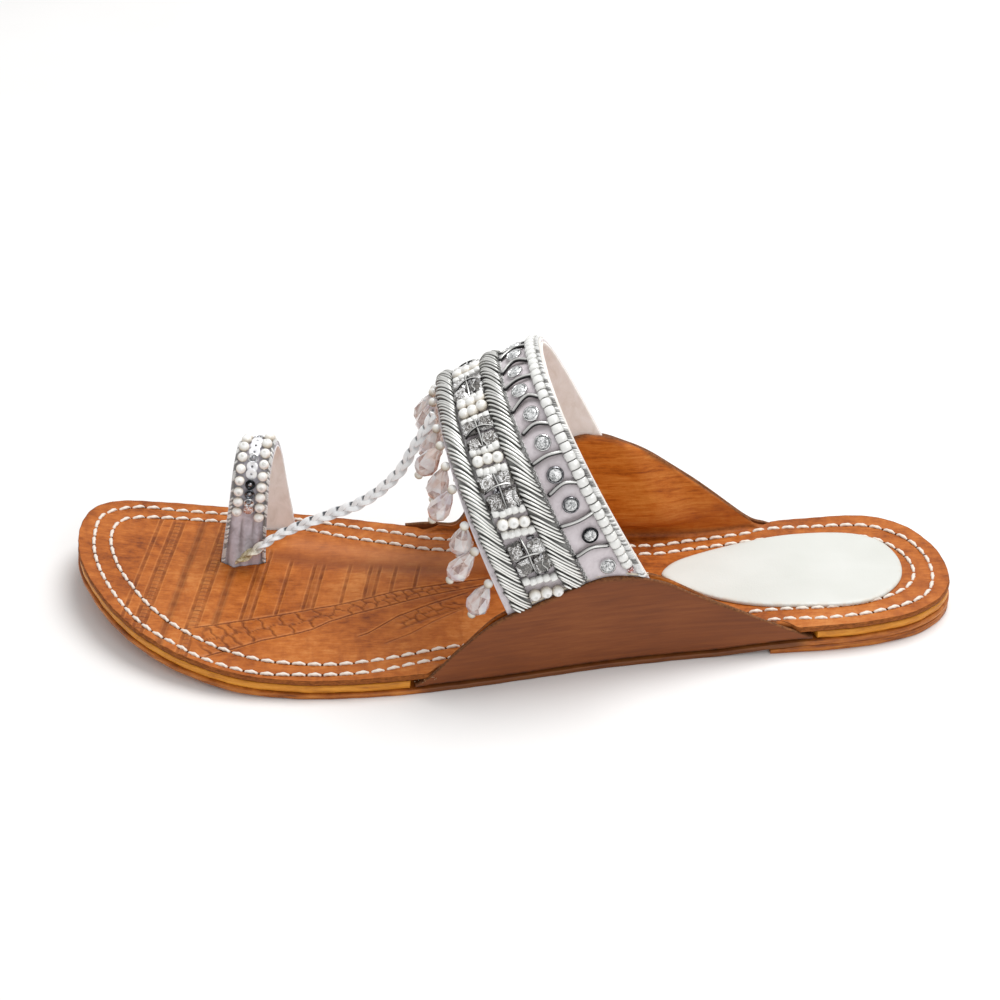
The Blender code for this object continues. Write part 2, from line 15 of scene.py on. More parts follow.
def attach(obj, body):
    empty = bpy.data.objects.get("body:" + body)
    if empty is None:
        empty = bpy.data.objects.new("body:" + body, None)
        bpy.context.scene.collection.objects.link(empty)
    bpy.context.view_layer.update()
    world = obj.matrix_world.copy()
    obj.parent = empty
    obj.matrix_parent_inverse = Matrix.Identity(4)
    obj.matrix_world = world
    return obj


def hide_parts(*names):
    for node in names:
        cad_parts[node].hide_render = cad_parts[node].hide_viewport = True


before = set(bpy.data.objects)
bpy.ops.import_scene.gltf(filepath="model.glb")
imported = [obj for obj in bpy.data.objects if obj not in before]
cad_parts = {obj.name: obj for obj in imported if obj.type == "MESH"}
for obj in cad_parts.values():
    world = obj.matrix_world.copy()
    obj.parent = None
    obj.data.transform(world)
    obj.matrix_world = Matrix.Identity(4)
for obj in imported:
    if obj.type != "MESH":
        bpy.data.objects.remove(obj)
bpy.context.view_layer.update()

MM = 0.001
GAP = 0.3  # between pieces that are glued or sewn together
LATERAL, MEDIAL = 1, -1

# Plan of the sole: x, y of the inner (medial) edge, y of the outer (lateral) edge.
SOLE_EDGE = (
    (-125.0, 4.0, 4.0), (-124.0, -5.0, 12.5), (-121.0, -12.3, 18.3), (-117.0, -18.0, 22.3),
    (-111.0, -22.3, 26.2), (-103.0, -24.6, 28.9), (-92.0, -24.4, 31.0), (-78.0, -23.3, 31.7),
    (-60.0, -22.8, 31.9), (-40.0, -23.0, 33.2), (-20.0, -24.4, 35.6), (0.0, -26.6, 39.0),
    (20.0, -29.8, 42.0), (35.0, -33.3, 43.5), (50.0, -37.6, 44.0), (65.0, -41.2, 43.0),
    (80.0, -43.1, 39.8), (95.0, -43.8, 32.2), (107.0, -43.2, 22.2), (115.0, -41.2, 11.6),
    (120.5, -36.7, 1.0), (123.8, -30.0, -8.5), (125.0, -19.5, -19.5),
)
HEEL_X, TOE_X = -125.0, 125.0
OUTSOLE, MIDSOLE, FOOTBED = 1.5, 2.3, 1.6
HEEL_RISE, HEEL_RISE_FROM, HEEL_RISE_TO = 2.4, -50.0, -84.0
TOE_SPRING, TOE_SPRING_FROM = 9.0, 55.0
LIFT_FRONT = -68.0
MIDSOLE_INSET, FOOTBED_INSET, LIFT_INSET = 0.5, 0.3, 0.2

# The ears: an outer ply, and the footbed's margin turned up inside it.
EAR_REAR, EAR_FRONT = -81.0, 30.0
PLY = 1.2
FACE_INSET = 0.4
EAR_LEAN = {LATERAL: 0.05, MEDIAL: 0.14}
FOOT_TIP, FOOT_DEEP, FOOT_TAPER = 3.0, 10.0, 12.0
EAR_ROOM = 0.6
EAR_FOLD = ((2.0, 0.0), (0.6, 0.3), (0.0, 1.4))
EAR_FOLD_INSIDE = ((PLY + 1.0, MIDSOLE), (PLY + 0.25, MIDSOLE + 0.3), (PLY, MIDSOLE + 0.9))
FOLD_RADIUS = 1.2
FOLD_START, FOLD_SHARE = 6.0, 0.4
FOLD_RAMP = (4.0, 11.0)
FOLD_ROOM = 1.6
NOTCH_RAMP = (-1.5, -0.5)
BED_NOTCH_RAMP = (3.0, 6.5)  # the bed's edge runs on over the ears' tips
INNER_PLY_PROUD = (-0.9, 0.2)  # outer ear, inner ear
POCKET_PROUD = 0.65  # how much higher the inner ear's ply stands for each millimetre it stands away
EAR_TIP, EAR_FULL = 1.2, 3.8
EAR_TOP = {
    LATERAL: (
        (-81.0, 5.0), (-76.0, 7.2), (-66.0, 12.2), (-50.0, 20.6), (-38.0, 27.6), (-26.0, 30.8),
        (-17.0, 30.2), (-3.0, 25.3), (8.0, 21.0), (18.0, 13.0), (25.0, 6.0), (30.0, 2.6),
    ),
    MEDIAL: (
        (-81.0, 6.2), (-76.0, 8.2), (-71.0, 10.2), (-60.0, 18.9), (-43.0, 31.2), (-33.0, 36.0),
        (-26.0, 37.6), (-18.0, 36.2), (4.0, 21.6), (10.0, 16.6), (13.2, 10.6), (16.0, 8.1),
        (22.0, 7.6), (30.0, 6.4),
    ),
}

# The instep band, between two slanting planes: x = foot + slope * z + skew * y.
BAND = 2.0
BAND_BACK = {
    "foot": -46.8, "slope": 0.49, "skew": -0.035, "end": 13.5,
    "spring": (36.0, 40.0), "crown": (3.0, 81.4),
}
BAND_FRONT = {
    "foot": -2.9, "slope": 0.36, "skew": -0.02, "end": 13.0,
    "spring": (28.0, 28.0), "crown": (3.0, 67.0),
}
SQUARE = 2.5  # 2 would make the arch an ellipse
POCKET_ROOM, POCKET_RAMP = 4.0, 13.0
POCKET_FLOOR, POCKET_FULL = 8.6, 11.0

# The toe ring's outer face: x, y, height, width.
RING = 1.8
RING_CROWN = 0.4
RING_ROUTE = (
    (77.5, -14.0, 5.9, 12.4), (76.3, -13.5, 16.0, 11.4), (74.8, -13.7, 27.0, 10.5),
    (73.5, -15.9, 36.0, 10.2), (72.4, -20.3, 40.2, 10.2), (71.5, -25.0, 40.8, 10.2),
    (70.9, -29.5, 37.4, 10.2), (70.2, -32.6, 30.6, 10.2), (69.3, -33.8, 18.0, 10.6),
    (68.3, -33.6, 5.5, 11.6),
)
SLIT_ROOM, SLIT_REACH = 0.4, 4.0
FOOT_BULGE, FOOT_FOLD = 2.4, 0.22  # the near foot is folded: how far out, and where across its width

BRAID_ROUTE = (
    (79.6, -12.1, 8.5), (72.5, -10.0, 14.4), (66.5, -8.3, 19.7), (58.3, -5.7, 25.1),
    (50.5, -3.2, 29.8), (44.0, -1.1, 33.7), (37.5, 1.0, 39.5), (31.8, 2.8, 46.8),
    (27.6, 4.2, 55.5), (24.3, 5.4, 62.0), (22.4, 6.2, 66.9),
)

# Drops on the band's front edge: share of the way over the band, lean to the toe, lean outwards.
DROPS = (
    (0.136, 0.42, 0.0), (0.204, 0.62, 0.05), (0.253, 0.12, -0.2), (0.320, 0.50, 0.0),
    (0.364, 0.32, 0.0), (0.409, 0.55, 0.0), (0.453, 0.40, 0.0), (0.540, 0.45, 0.0),
    (0.590, 0.60, 0.0), (0.635, 0.35, 0.0), (0.680, 0.55, 0.0), (0.725, 0.30, 0.15),
    (0.770, 0.55, -0.05), (0.815, 0.30, -0.3), (0.860, 0.50, 0.0),
)
DROP_OUT = (0.9, 0.0, -0.4)
DROP_SEED = 1.2

PAD = 0.9
PAD_EDGE = (
    (-43.0, -1.0), (-47.5, -6.0), (-56.0, -9.8), (-67.0, -12.3), (-80.0, -13.8), (-93.0, -14.2),
    (-102.5, -12.4), (-108.5, -7.5), (-111.2, 1.0), (-110.2, 9.0), (-106.5, 15.0), (-100.5, 19.7),
    (-92.0, 21.8), (-80.0, 21.4), (-68.0, 18.8), (-57.0, 13.4), (-48.0, 6.6), (-43.8, 2.2),
)

# Tooling pressed into the top leather: straight lines over it, and curved ones as x, y.
TOOL_SLANT = 0.168  # a tooled line's lean to the toe for each millimetre outwards
TOOL_FROM = -12.0
DOUBLE_LINES = (100.0, 86.0, 72.0, 55.5, 39.0)
DOUBLE_GAP = 1.3  # from the middle of a double line to either of its grooves
RUNG_PITCH = 1.8
SINGLE_LINES = (105.2, 93.0, 80.0, 64.0, 46.5, 33.0, 26.5)
WIDE_LINES = (93.0, 80.0)
UPPER_LINE = (
    (91.5, 19.3), (80.3, 15.7), (64.6, 11.4), (56.0, 8.9), (51.0, 7.9), (40.3, 4.6), (33.1, 2.1),
    (20.0, -0.4), (8.0, -2.4),
)
LOWER_LINE = (
    (88.0, 32.8), (81.7, 29.3), (71.7, 23.9), (61.7, 20.7), (57.4, 18.9), (53.1, 15.7), (45.3, 12.1),
    (36.7, 9.3), (26.0, 5.4), (20.0, 3.6), (8.0, 0.6),
)
THIRD_LINE = ((46.0, 23.5), (42.4, 21.8), (34.0, 14.5), (24.6, 9.3), (14.0, 4.4))
FOURTH_LINE = ((38.5, 27.2), (30.5, 22.8), (24.0, 17.6), (16.0, 12.5))
CURVED_LINES = (UPPER_LINE, LOWER_LINE, THIRD_LINE, FOURTH_LINE)


# ---------------------------------------------------------------- shape of the sandal

def smooth(value, low, high):
    """0 at low, 1 at high, with no corner at either."""
    share = np.clip((np.asarray(value, float) - low) / (high - low), 0.0, 1.0)
    return share * share * (3 - 2 * share)


def between(first, second, share):
    return first + (second - first) * share


def unit(vectors):
    vectors = np.asarray(vectors, float)
    return vectors / np.maximum(np.linalg.norm(vectors, axis=-1, keepdims=True), 1e-9)


def curve(points, closed=False, steps=8):
    """Catmull-Rom curve through the points."""
    points = np.asarray(points, float)
    count = len(points)
    spans = count if closed else count - 1
    share = np.arange(steps)[:, None] / steps
    square, cube = share**2, share**3
    drawn = []
    for i in range(spans):
        before = points[i - 1] if closed or i else 2 * points[0] - points[1]
        end = points[(i + 1) % count]
        after = points[(i + 2) % count] if closed or i + 2 < count else 2 * end - points[i]
        drawn.append(
            points[i] * (1.5 * cube - 2.5 * square + 1) + end * (2 * square - 1.5 * cube + 0.5 * share)
            + before * (square - 0.5 * cube - 0.5 * share) + after * (0.5 * cube - 0.5 * square)
        )
    drawn = np.concatenate(drawn)
    return drawn if closed else np.concatenate([drawn, points[-1:]])


def closed_up(line):
    """A closed line with its first point again at its end."""
    return np.concatenate([line, line[:1]])


def run_of(points):
    """Distance along a line at each of its points."""
    steps = np.linalg.norm(np.diff(points, axis=0), axis=1)
    return np.concatenate([[0.0], np.cumsum(steps)])


def at_run(points, wanted):
    """The line's points at the wanted distances along it."""
    run = run_of(points)
    return np.stack([np.interp(wanted, run, column) for column in points.T], axis=1)


def spaced(points, count):
    """The same line with count points at even distances."""
    return at_run(points, np.linspace(0.0, run_of(points)[-1], count))


def line_y(line, x):
    """y of a line at x, whichever way the line runs."""
    line = np.asarray(line, float)
    if line[0, 0] > line[-1, 0]:
        line = line[::-1]
    return np.interp(x, line[:, 0], line[:, 1])


CURVE_STEPS = 24
OUTER_EDGE = [(x, outer) for x, inner, outer in SOLE_EDGE]
INNER_EDGE = [(x, inner) for x, inner, outer in SOLE_EDGE]
SOLE_LOOP = curve(OUTER_EDGE + INNER_EDGE[-2:0:-1], closed=True, steps=CURVE_STEPS)
TOE_INDEX = (len(SOLE_EDGE) - 1) * CURVE_STEPS
SIDE_LINE = {
    LATERAL: SOLE_LOOP[: TOE_INDEX + 1],
    MEDIAL: np.concatenate([SOLE_LOOP[:1], SOLE_LOOP[: TOE_INDEX - 1 : -1]]),
}
EAR_LINE = {side: curve(EAR_TOP[side], steps=12) for side in (LATERAL, MEDIAL)}


def either(side, outer, inner):
    return np.where(np.asarray(side) > 0, outer, inner)


def edge_y(side, x):
    return either(side, line_y(SIDE_LINE[LATERAL], x), line_y(SIDE_LINE[MEDIAL], x))


def ear_top(side, x):
    return either(side, line_y(EAR_LINE[LATERAL], x), line_y(EAR_LINE[MEDIAL], x))


def sole_under(x):
    """Height of the outsole's underside."""
    spring = np.clip((np.asarray(x, float) - TOE_SPRING_FROM) / (TOE_X - TOE_SPRING_FROM), 0.0, None)
    return HEEL_RISE * smooth(x, HEEL_RISE_FROM, HEEL_RISE_TO) + TOE_SPRING * spring**2


def midsole_under(x):
    return sole_under(x) + OUTSOLE + GAP


def footbed_under(x):
    return midsole_under(x) + MIDSOLE + GAP


def footbed_top(x):
    return footbed_under(x) + FOOTBED


def ear_reach(x):
    """How far x is inside the ears' stretch, below 0 outside it."""
    return np.minimum(x - EAR_REAR, EAR_FRONT - x)


def ply_foot(x):
    return between(FOOT_TIP, FOOT_DEEP, smooth(ear_reach(x), 0.0, FOOT_TAPER))


def wall_y(side, x, z, depth):
    """A point of an ear's wall, depth in from its outer face."""
    lean = either(side, EAR_LEAN[LATERAL], EAR_LEAN[MEDIAL]) * (z - midsole_under(x))
    return edge_y(side, x) - side * (FACE_INSET + depth - lean)


def plane_x(edge, y, z):
    return edge["foot"] + edge["slope"] * z + edge["skew"] * y


def inner_face(side, x, z):
    """Depth of the inner ply's face, which makes room for the band's end."""
    y = edge_y(side, x)
    back = plane_x(BAND_BACK, y, z) - POCKET_ROOM
    front = plane_x(BAND_FRONT, y, z) + POCKET_ROOM
    along = smooth(x - back, -POCKET_RAMP, 0.0) * smooth(front - x, -POCKET_RAMP, 0.0)
    return PLY + GAP + PLY + (BAND + GAP) * along * smooth(z, POCKET_FLOOR, POCKET_FULL)


def ply_crest(side, x):
    """The inner ply's top, which stands higher on the inner ear where it makes room for the band."""
    top = ear_top(side, x)
    room = inner_face(side, x, top) - 2 * PLY - GAP
    proud = either(side, INNER_PLY_PROUD[0], INNER_PLY_PROUD[1] + POCKET_PROUD * room)
    return np.maximum(top + proud, footbed_top(x) + FOLD_RADIUS + 1.0)


def fold_share(x):
    """0 where the footbed's margin lies flat, 1 where it stands up as an ear's inner ply."""
    return smooth(ear_reach(x), *FOLD_RAMP)


def wander(run, size, *waves):
    """A slow unevenness of a hand cut edge, from 0 to size. waves are lengths and starts."""
    total = sum(np.sin(run / length * 2 * np.pi + start) for length, start in waves)
    return size * (0.5 + 0.5 * total / len(waves))


def sole_round(stations):
    """Round the sole once: side and x at each rung's end, the edge's points and the way out."""
    side = np.concatenate([np.ones(len(stations)), -np.ones(len(stations) - 2)])
    x = np.concatenate([stations, stations[-2:0:-1]])
    edge = np.stack([x, edge_y(side, x)], axis=1)
    along = np.roll(edge, -1, axis=0) - np.roll(edge, 1, axis=0)
    return side, x, edge, unit(np.stack([-along[:, 1], along[:, 0]], axis=1))


def to_line(x, y, line):
    """Distance from points to a line of points."""
    line = np.asarray(line, float)
    best = np.full(np.shape(x), 1e9)
    for (ax, ay), (bx, by) in zip(line[:-1], line[1:]):
        dx, dy = bx - ax, by - ay
        share = np.clip(((x - ax) * dx + (y - ay) * dy) / (dx * dx + dy * dy), 0.0, 1.0)
        best = np.minimum(best, np.hypot(x - ax - share * dx, y - ay - share * dy))
    return best


def sample(table, first, second):
    """Values of a table of rows between its rungs. first and second are shares of its two sides."""
    a = np.clip(np.asarray(first, float), 0.0, 1.0) * (table.shape[0] - 1)
    b = np.clip(np.asarray(second, float), 0.0, 1.0) * (table.shape[1] - 1)
    i = np.minimum(a.astype(int), table.shape[0] - 2)
    j = np.minimum(b.astype(int), table.shape[1] - 2)
    u, v = (a - i)[..., None], (b - j)[..., None]
    low = table[i, j] * (1 - u) + table[i + 1, j] * u
    high = table[i, j + 1] * (1 - u) + table[i + 1, j + 1] * u
    return low * (1 - v) + high * v


# ---------------------------------------------------------------- meshes

MERGE, SLIVER = 0.002, 0.0005  # points as close as this are one point, edges as short are none


def placed(name, data):
    """A new object in the scene."""
    made = bpy.data.objects.new(name, data)
    bpy.context.collection.objects.link(made)
    return made


def discard(*shapes):
    for shape in shapes:
        bpy.data.objects.remove(shape)


def applied(piece):
    """The piece's mesh with its modifiers applied."""
    graph = bpy.context.evaluated_depsgraph_get()
    return bpy.data.meshes.new_from_object(
        piece.evaluated_get(graph), preserve_all_data_layers=True, depsgraph=graph
    )


class Cut:
    """Points and faces of one piece, gathered before they are made a mesh."""

    def __init__(self):
        self.points, self.faces, self.count = [], [], 0

    def sheet(self, grid, round_rows=False, round_columns=False):
        """Faces over a grid of points."""
        grid = np.asarray(grid, float)
        rows, columns = grid.shape[:2]
        ids = np.arange(rows * columns).reshape(rows, columns)
        if round_rows:
            ids = np.concatenate([ids, ids[:1]])
        if round_columns:
            ids = np.concatenate([ids, ids[:, :1]], axis=1)
        corners = [ids[:-1, :-1], ids[1:, :-1], ids[1:, 1:], ids[:-1, 1:]]
        self.add(grid.reshape(-1, 3), np.stack(corners, axis=-1).reshape(-1, 4))

    def add(self, points, faces):
        self.points.append(np.asarray(points, float))
        self.faces += [tuple(self.count + int(corner) for corner in face) for face in faces]
        self.count += len(points)

    def cap(self, ring):
        """One face over a ring of points."""
        self.add(ring, [tuple(range(len(ring)))])

    def piece(self, name, finish=None, sharp=50.0):
        """The piece as an object, with doubles merged and faces turned outwards."""
        mesh = bpy.data.meshes.new(name)
        mesh.from_pydata(np.concatenate(self.points) * MM, [], self.faces)
        if finish:
            mesh.materials.append(finish)
        builder = bmesh.new()
        builder.from_mesh(mesh)
        bmesh.ops.remove_doubles(builder, verts=builder.verts, dist=MERGE * MM)
        bmesh.ops.dissolve_degenerate(builder, edges=builder.edges, dist=SLIVER * MM)
        bmesh.ops.recalc_face_normals(builder, faces=builder.faces)
        builder.to_mesh(mesh)
        builder.free()
        mesh.shade_smooth()
        mesh.set_sharp_from_angle(angle=math.radians(sharp))
        return placed(name, mesh)


def places_of(mesh):
    """Points and normals of a mesh, in millimetres."""
    points, normals = np.empty(len(mesh.vertices) * 3), np.empty(len(mesh.vertices) * 3)
    mesh.vertices.foreach_get("co", points)
    mesh.vertices.foreach_get("normal", normals)
    return points.reshape(-1, 3) / MM, normals.reshape(-1, 3)


def mark(mesh, name, values):
    """Stores a value or a vector on each point, for a finish or a tree to read."""
    values = np.asarray(values, np.float32)
    kind, part = ("FLOAT", "value") if values.ndim == 1 else ("FLOAT_VECTOR", "vector")
    mesh.attributes.new(name, kind, "POINT").data.foreach_set(part, values.reshape(-1))


def tree_of(points):
    """A tree that finds the nearest of these points."""
    tree = KDTree(len(points))
    for number, point in enumerate(points):
        tree.insert(point, number)
    tree.balance()
    return tree


def nearest_in(tree, points):
    return np.array([tree.find(point)[1] for point in points])


def settle(piece, slot, *nodes):
    """The piece moves with the sandal, and stands for the CAD nodes named."""
    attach(piece, "root")
    if nodes:
        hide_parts(*nodes)
    return piece


# ---------------------------------------------------------------- trees of nodes

class Socket:
    """An output of a node. Python's operators on it add Math nodes."""

    def __init__(self, kit, node, output):
        self.kit, self.node, self.socket = kit, node, output

    def out(self, name):
        return Socket(self.kit, self.node, self.node.outputs[name])

    def math(self, operation, first, second=0.0):
        return self.kit.add("ShaderNodeMath", {"operation": operation}, {0: first, 1: second})

    def __add__(self, other):
        return self.math("ADD", self, other)

    def __radd__(self, other):
        return self.math("ADD", other, self)

    def __sub__(self, other):
        return self.math("SUBTRACT", self, other)

    def __rsub__(self, other):
        return self.math("SUBTRACT", other, self)

    def __mul__(self, other):
        return self.math("MULTIPLY", self, other)

    def __rmul__(self, other):
        return self.math("MULTIPLY", other, self)

    def sine(self):
        return self.math("SINE", self)

    def size(self):
        return self.math("ABSOLUTE", self)

    def least(self, other):
        return self.math("MINIMUM", self, other)

    def most(self, other):
        return self.math("MAXIMUM", self, other)

    def between(self, low, high, start=0.0, end=1.0):
        """This value from low to high, turned into start to end."""
        settings = {"interpolation_type": "SMOOTHSTEP"}
        values = {0: self, 1: low, 2: high, 3: start, 4: end}
        return self.kit.add("ShaderNodeMapRange", settings, values)


class Kit:
    """Adds nodes to one tree."""

    def __init__(self, tree):
        self.tree = tree

    def add(self, kind, settings=None, values=None, output=0):
        node = self.tree.nodes.new(kind)
        for name, value in (settings or {}).items():
            if name == "stops":
                self.stops(node.color_ramp, value)
            else:
                setattr(node, name, value)
        for key, value in (values or {}).items():
            if isinstance(value, Socket):
                self.tree.links.new(value.socket, node.inputs[key])
            else:
                node.inputs[key].default_value = value
        return Socket(self, node, node.outputs[output])

    def stops(self, ramp, rows):
        while len(ramp.elements) < len(rows):
            ramp.elements.new(0.5)
        for element, (place, colour) in zip(ramp.elements, rows):
            element.position = place
            element.color = colour


def tone(red, green, blue):
    """A colour as the eye reads it, 0 to 255, as the shader's linear one."""
    return tuple((part / 255.0) ** 2.2 for part in (red, green, blue)) + (1.0,)


class Finish(Kit):
    """A material whose surface values come from nodes."""

    def __init__(self, name, **fixed):
        self.material = bpy.data.materials.new(name)
        self.material.use_nodes = True
        super().__init__(self.material.node_tree)
        self.shader = self.tree.nodes["Principled BSDF"]
        for key, value in fixed.items():
            socket = key.replace("_", " ").title().replace("Ior", "IOR")
            self.shader.inputs[socket].default_value = value
        self.place = self.scaled(self.add("ShaderNodeTexCoord", output="Object"), 1 / MM)

    def scaled(self, vector, scale):
        """A vector times one number, or times three."""
        scale = scale if isinstance(scale, tuple) else (scale,) * 3
        return self.add("ShaderNodeVectorMath", {"operation": "MULTIPLY"}, {0: vector, 1: scale})

    def noise(self, waves, detail=2.0, rough=0.5, bend=0.0):
        """Noise with this many waves to a millimetre, or as many along x, y and z."""
        values = {"Scale": 1.0, "Detail": detail, "Roughness": rough, "Distortion": bend}
        values["Vector"] = self.scaled(self.place, waves)
        return self.add("ShaderNodeTexNoise", None, values)

    def value(self, name):
        """A value stored on the points."""
        return self.add("ShaderNodeAttribute", {"attribute_name": name}, output="Fac")

    def axis(self, name):
        return self.add("ShaderNodeSeparateXYZ", None, {0: self.place}, output=name)

    def mix(self, share, first, second):
        values = {0: share, 6: first, 7: second}
        return self.add("ShaderNodeMix", {"data_type": "RGBA"}, values, output=2)

    def ramp(self, value, *stops):
        return self.add("ShaderNodeValToRGB", {"stops": stops}, {0: value})

    def done(self, colour, roughness, height, depth, strength):
        """Links what changes over the surface, and gives the material."""
        bump = {"Strength": strength, "Distance": depth * MM, "Height": height}
        normal = self.add("ShaderNodeBump", None, bump)
        for key, value in (("Base Color", colour), ("Roughness", roughness), ("Normal", normal)):
            self.tree.links.new(value.socket, self.shader.inputs[key])
        return self.material


SHARP = 55.0  # degrees, past which a sewn or drawn shape keeps its edge


class Recipe(Kit):
    """A Geometry Nodes tree with named inputs, run on a mesh of points or lines."""

    def __init__(self, name, **sockets):
        super().__init__(bpy.data.node_groups.new(name, "GeometryNodeTree"))
        self.sockets = {}
        face = self.tree.interface
        face.new_socket("Geometry", in_out="INPUT", socket_type="NodeSocketGeometry")
        for key, kind in sockets.items():
            made = face.new_socket(key, in_out="INPUT", socket_type="NodeSocket" + kind)
            self.sockets[key] = made.identifier
        face.new_socket("Geometry", in_out="OUTPUT", socket_type="NodeSocketGeometry")
        self.given = self.add("NodeGroupInput")

    def field(self, name, kind="FLOAT_VECTOR"):
        return self.add("GeometryNodeInputNamedAttribute", {"data_type": kind}, {"Name": name})

    def close(self, geometry, finish):
        """Ends the tree: real meshes, in their finish."""
        real = self.add("GeometryNodeRealizeInstances", None, {0: geometry})
        last = self.add("GeometryNodeSetMaterial", None, {"Geometry": real, "Material": finish})
        self.tree.links.new(last.socket, self.tree.nodes.new("NodeGroupOutput").inputs[0])

    def sew(self, points, body, along):
        """Ends the tree with a body on every point, turned to the way out and to the way along."""
        axes = {"primary_axis": "Z", "secondary_axis": "X"}
        turn = self.add("FunctionNodeAxesToRotation", axes, {0: self.field("out"), 1: along})
        given = {"Object": self.given.out(body)}
        shape = self.add("GeometryNodeObjectInfo", None, given, output="Geometry")
        sewn = {"Points": points, "Instance": shape, "Rotation": turn, "Scale": self.field("size")}
        self.close(self.add("GeometryNodeInstanceOnPoints", None, sewn), self.given.out("Finish"))

    def run(self, name, points, edges, marks, smoothed=True, **given):
        """A plain mesh object made by this tree from points in millimetres."""
        mesh = bpy.data.meshes.new(name)
        lines = [tuple(map(int, edge)) for edge in edges]
        mesh.from_pydata(np.asarray(points, float) * MM, lines, [])
        for key, rows in marks.items():
            mark(mesh, key, rows)
        start = placed(name + "_start", mesh)
        modifier = start.modifiers.new(self.tree.name, "NODES")
        modifier.node_group = self.tree
        for key, value in given.items():
            modifier[self.sockets[key]] = value
        real = applied(start)
        discard(start)
        real.name = name
        if smoothed:
            real.shade_smooth()
            real.set_sharp_from_angle(angle=math.radians(SHARP))
        else:
            real.shade_flat()
        return placed(name, real)


def sewing_recipe():
    """One bead on every point."""
    kit = Recipe("sew_on", Bead="Object", Finish="Material")
    kit.sew(kit.given, "Bead", kit.field("along"))
    return kit


def wire_recipe():
    """A round wire along every line, as thick as the value stored on its points."""
    kit = Recipe("draw_wire", Sides="Int", Finish="Material")
    lines = kit.add("GeometryNodeMeshToCurve", None, {"Mesh": kit.given})
    run = kit.add("GeometryNodeSplineParameter", output="Length")
    lines = kit.add(
        "GeometryNodeStoreNamedAttribute", {"data_type": "FLOAT", "domain": "POINT"},
        {"Geometry": lines, "Name": "run", "Value": run},
    )
    size = {"Resolution": kit.given.out("Sides"), "Radius": MM}
    section = kit.add("GeometryNodeCurvePrimitiveCircle", None, size)
    thick = kit.field("thick", "FLOAT")
    drawn = {"Curve": lines, "Profile Curve": section, "Scale": thick, "Fill Caps": True}
    kit.close(kit.add("GeometryNodeCurveToMesh", None, drawn), kit.given.out("Finish"))
    return kit


def stitch_recipe():
    """Stitches end to end along a line, each turned to the line."""
    kit = Recipe("sew_row", Pitch="Float", Stitch="Object", Finish="Material")
    line = kit.add("GeometryNodeMeshToCurve", None, {"Mesh": kit.given})
    pitch = {"Curve": line, "Length": kit.given.out("Pitch")}
    line = kit.add("GeometryNodeResampleCurve", {"mode": "LENGTH"}, pitch)
    kit.sew(line, "Stitch", kit.add("GeometryNodeInputTangent"))
    return kit


SEW_ON, DRAW_WIRE, SEW_ROW = sewing_recipe(), wire_recipe(), stitch_recipe()


def wires(name, lines, thick, finish, sides=6):
    """Round wires along lines of points. thick is one radius, or one for each point of each line."""
    edges, start = [], 0
    for line in lines:
        edges += [(start + i, start + i + 1) for i in range(len(line) - 1)]
        start += len(line)
    radii = np.full(start, float(thick)) if np.isscalar(thick) else np.concatenate(thick)
    marks = {"thick": radii}
    return DRAW_WIRE.run(name, np.concatenate(lines), edges, marks, Sides=sides, Finish=finish)


class Places:
    """Where beads are sewn on: point, way out, way along, size in three directions."""

    def __init__(self):
        self.rows = []

    def add(self, point, out, along, size):
        self.rows.append((point, out, along, np.broadcast_to(size, 3)))

    def sew(self, name, bead, finish, smoothed=True):
        point, out, along, size = (np.array([row[k] for row in self.rows], float) for k in range(4))
        marks = {"out": out, "along": along, "size": size}
        return SEW_ON.run(name, point, (), marks, smoothed, Bead=bead, Finish=finish)


# ---------------------------------------------------------------- finishes

def tooled_marks(kit):
    """How dark the tooling is, and how bright the rims beside it."""
    place = kit.axis("X") - (kit.axis("Y") - TOOL_FROM) * TOOL_SLANT
    lines = [line + edge for line in DOUBLE_LINES for edge in (-DOUBLE_GAP, DOUBLE_GAP)]
    nearest = (place - SINGLE_LINES[0]).size()
    for line in (*lines, *SINGLE_LINES[1:]):
        nearest = nearest.least((place - line).size())
    nearest = nearest + kit.noise((0.5, 0.22, 0.3), 2.0) * 0.24 - 0.12
    tooled = kit.value("tooled")
    worn = kit.noise(0.12, 3.0, 0.6).between(0.3, 0.6, 0.55, 1.0)
    dark = nearest.between(0.14, 0.7, 0.95, 0.0) * tooled * worn
    for line in WIDE_LINES:
        dark = dark.most((place - line).size().between(0.3, 1.7, 0.85, 0.0) * tooled)
    for line in DOUBLE_LINES:
        strip = (place - line).size().between(DOUBLE_GAP * 0.7, DOUBLE_GAP, 0.32, 0.0)
        dark = dark.most(strip * tooled)
    rungs = (kit.axis("Y") * (math.pi / RUNG_PITCH)).sine().size().between(0.15, 0.7, 1.0, 0.0)
    for line in DOUBLE_LINES[:2]:
        strip = (place - line).size().between(DOUBLE_GAP * 0.8, DOUBLE_GAP, 1.0, 0.0)
        dark = dark.most(strip * rungs * tooled)
    rim = nearest.between(0.4, 0.62) * nearest.between(0.62, 1.05, 1.0, 0.0) * tooled
    for number, line in enumerate(CURVED_LINES):
        away = kit.value(f"curve_{number}").size() + kit.noise(0.4, 2.0) * 0.2 - 0.1
        first, last = line[-1][0], line[0][0]
        starts = kit.axis("X").between(first - 3.0, first + 2.0)
        ends = kit.axis("X").between(last - 2.0, last, 1.0, 0.0)
        kept = starts * ends * kit.value("face") * (0.9 if number < 3 else 0.55)
        dark = dark.most(away.between(0.1, 0.36, 1.0, 0.0) * kept)
        rim = rim.most(away.between(0.34, 0.5) * away.between(0.55, 0.95, 1.0, 0.0) * kept)
    return dark.most(kit.value("scales") * 0.9), rim.most(kit.value("rim") * 0.6)


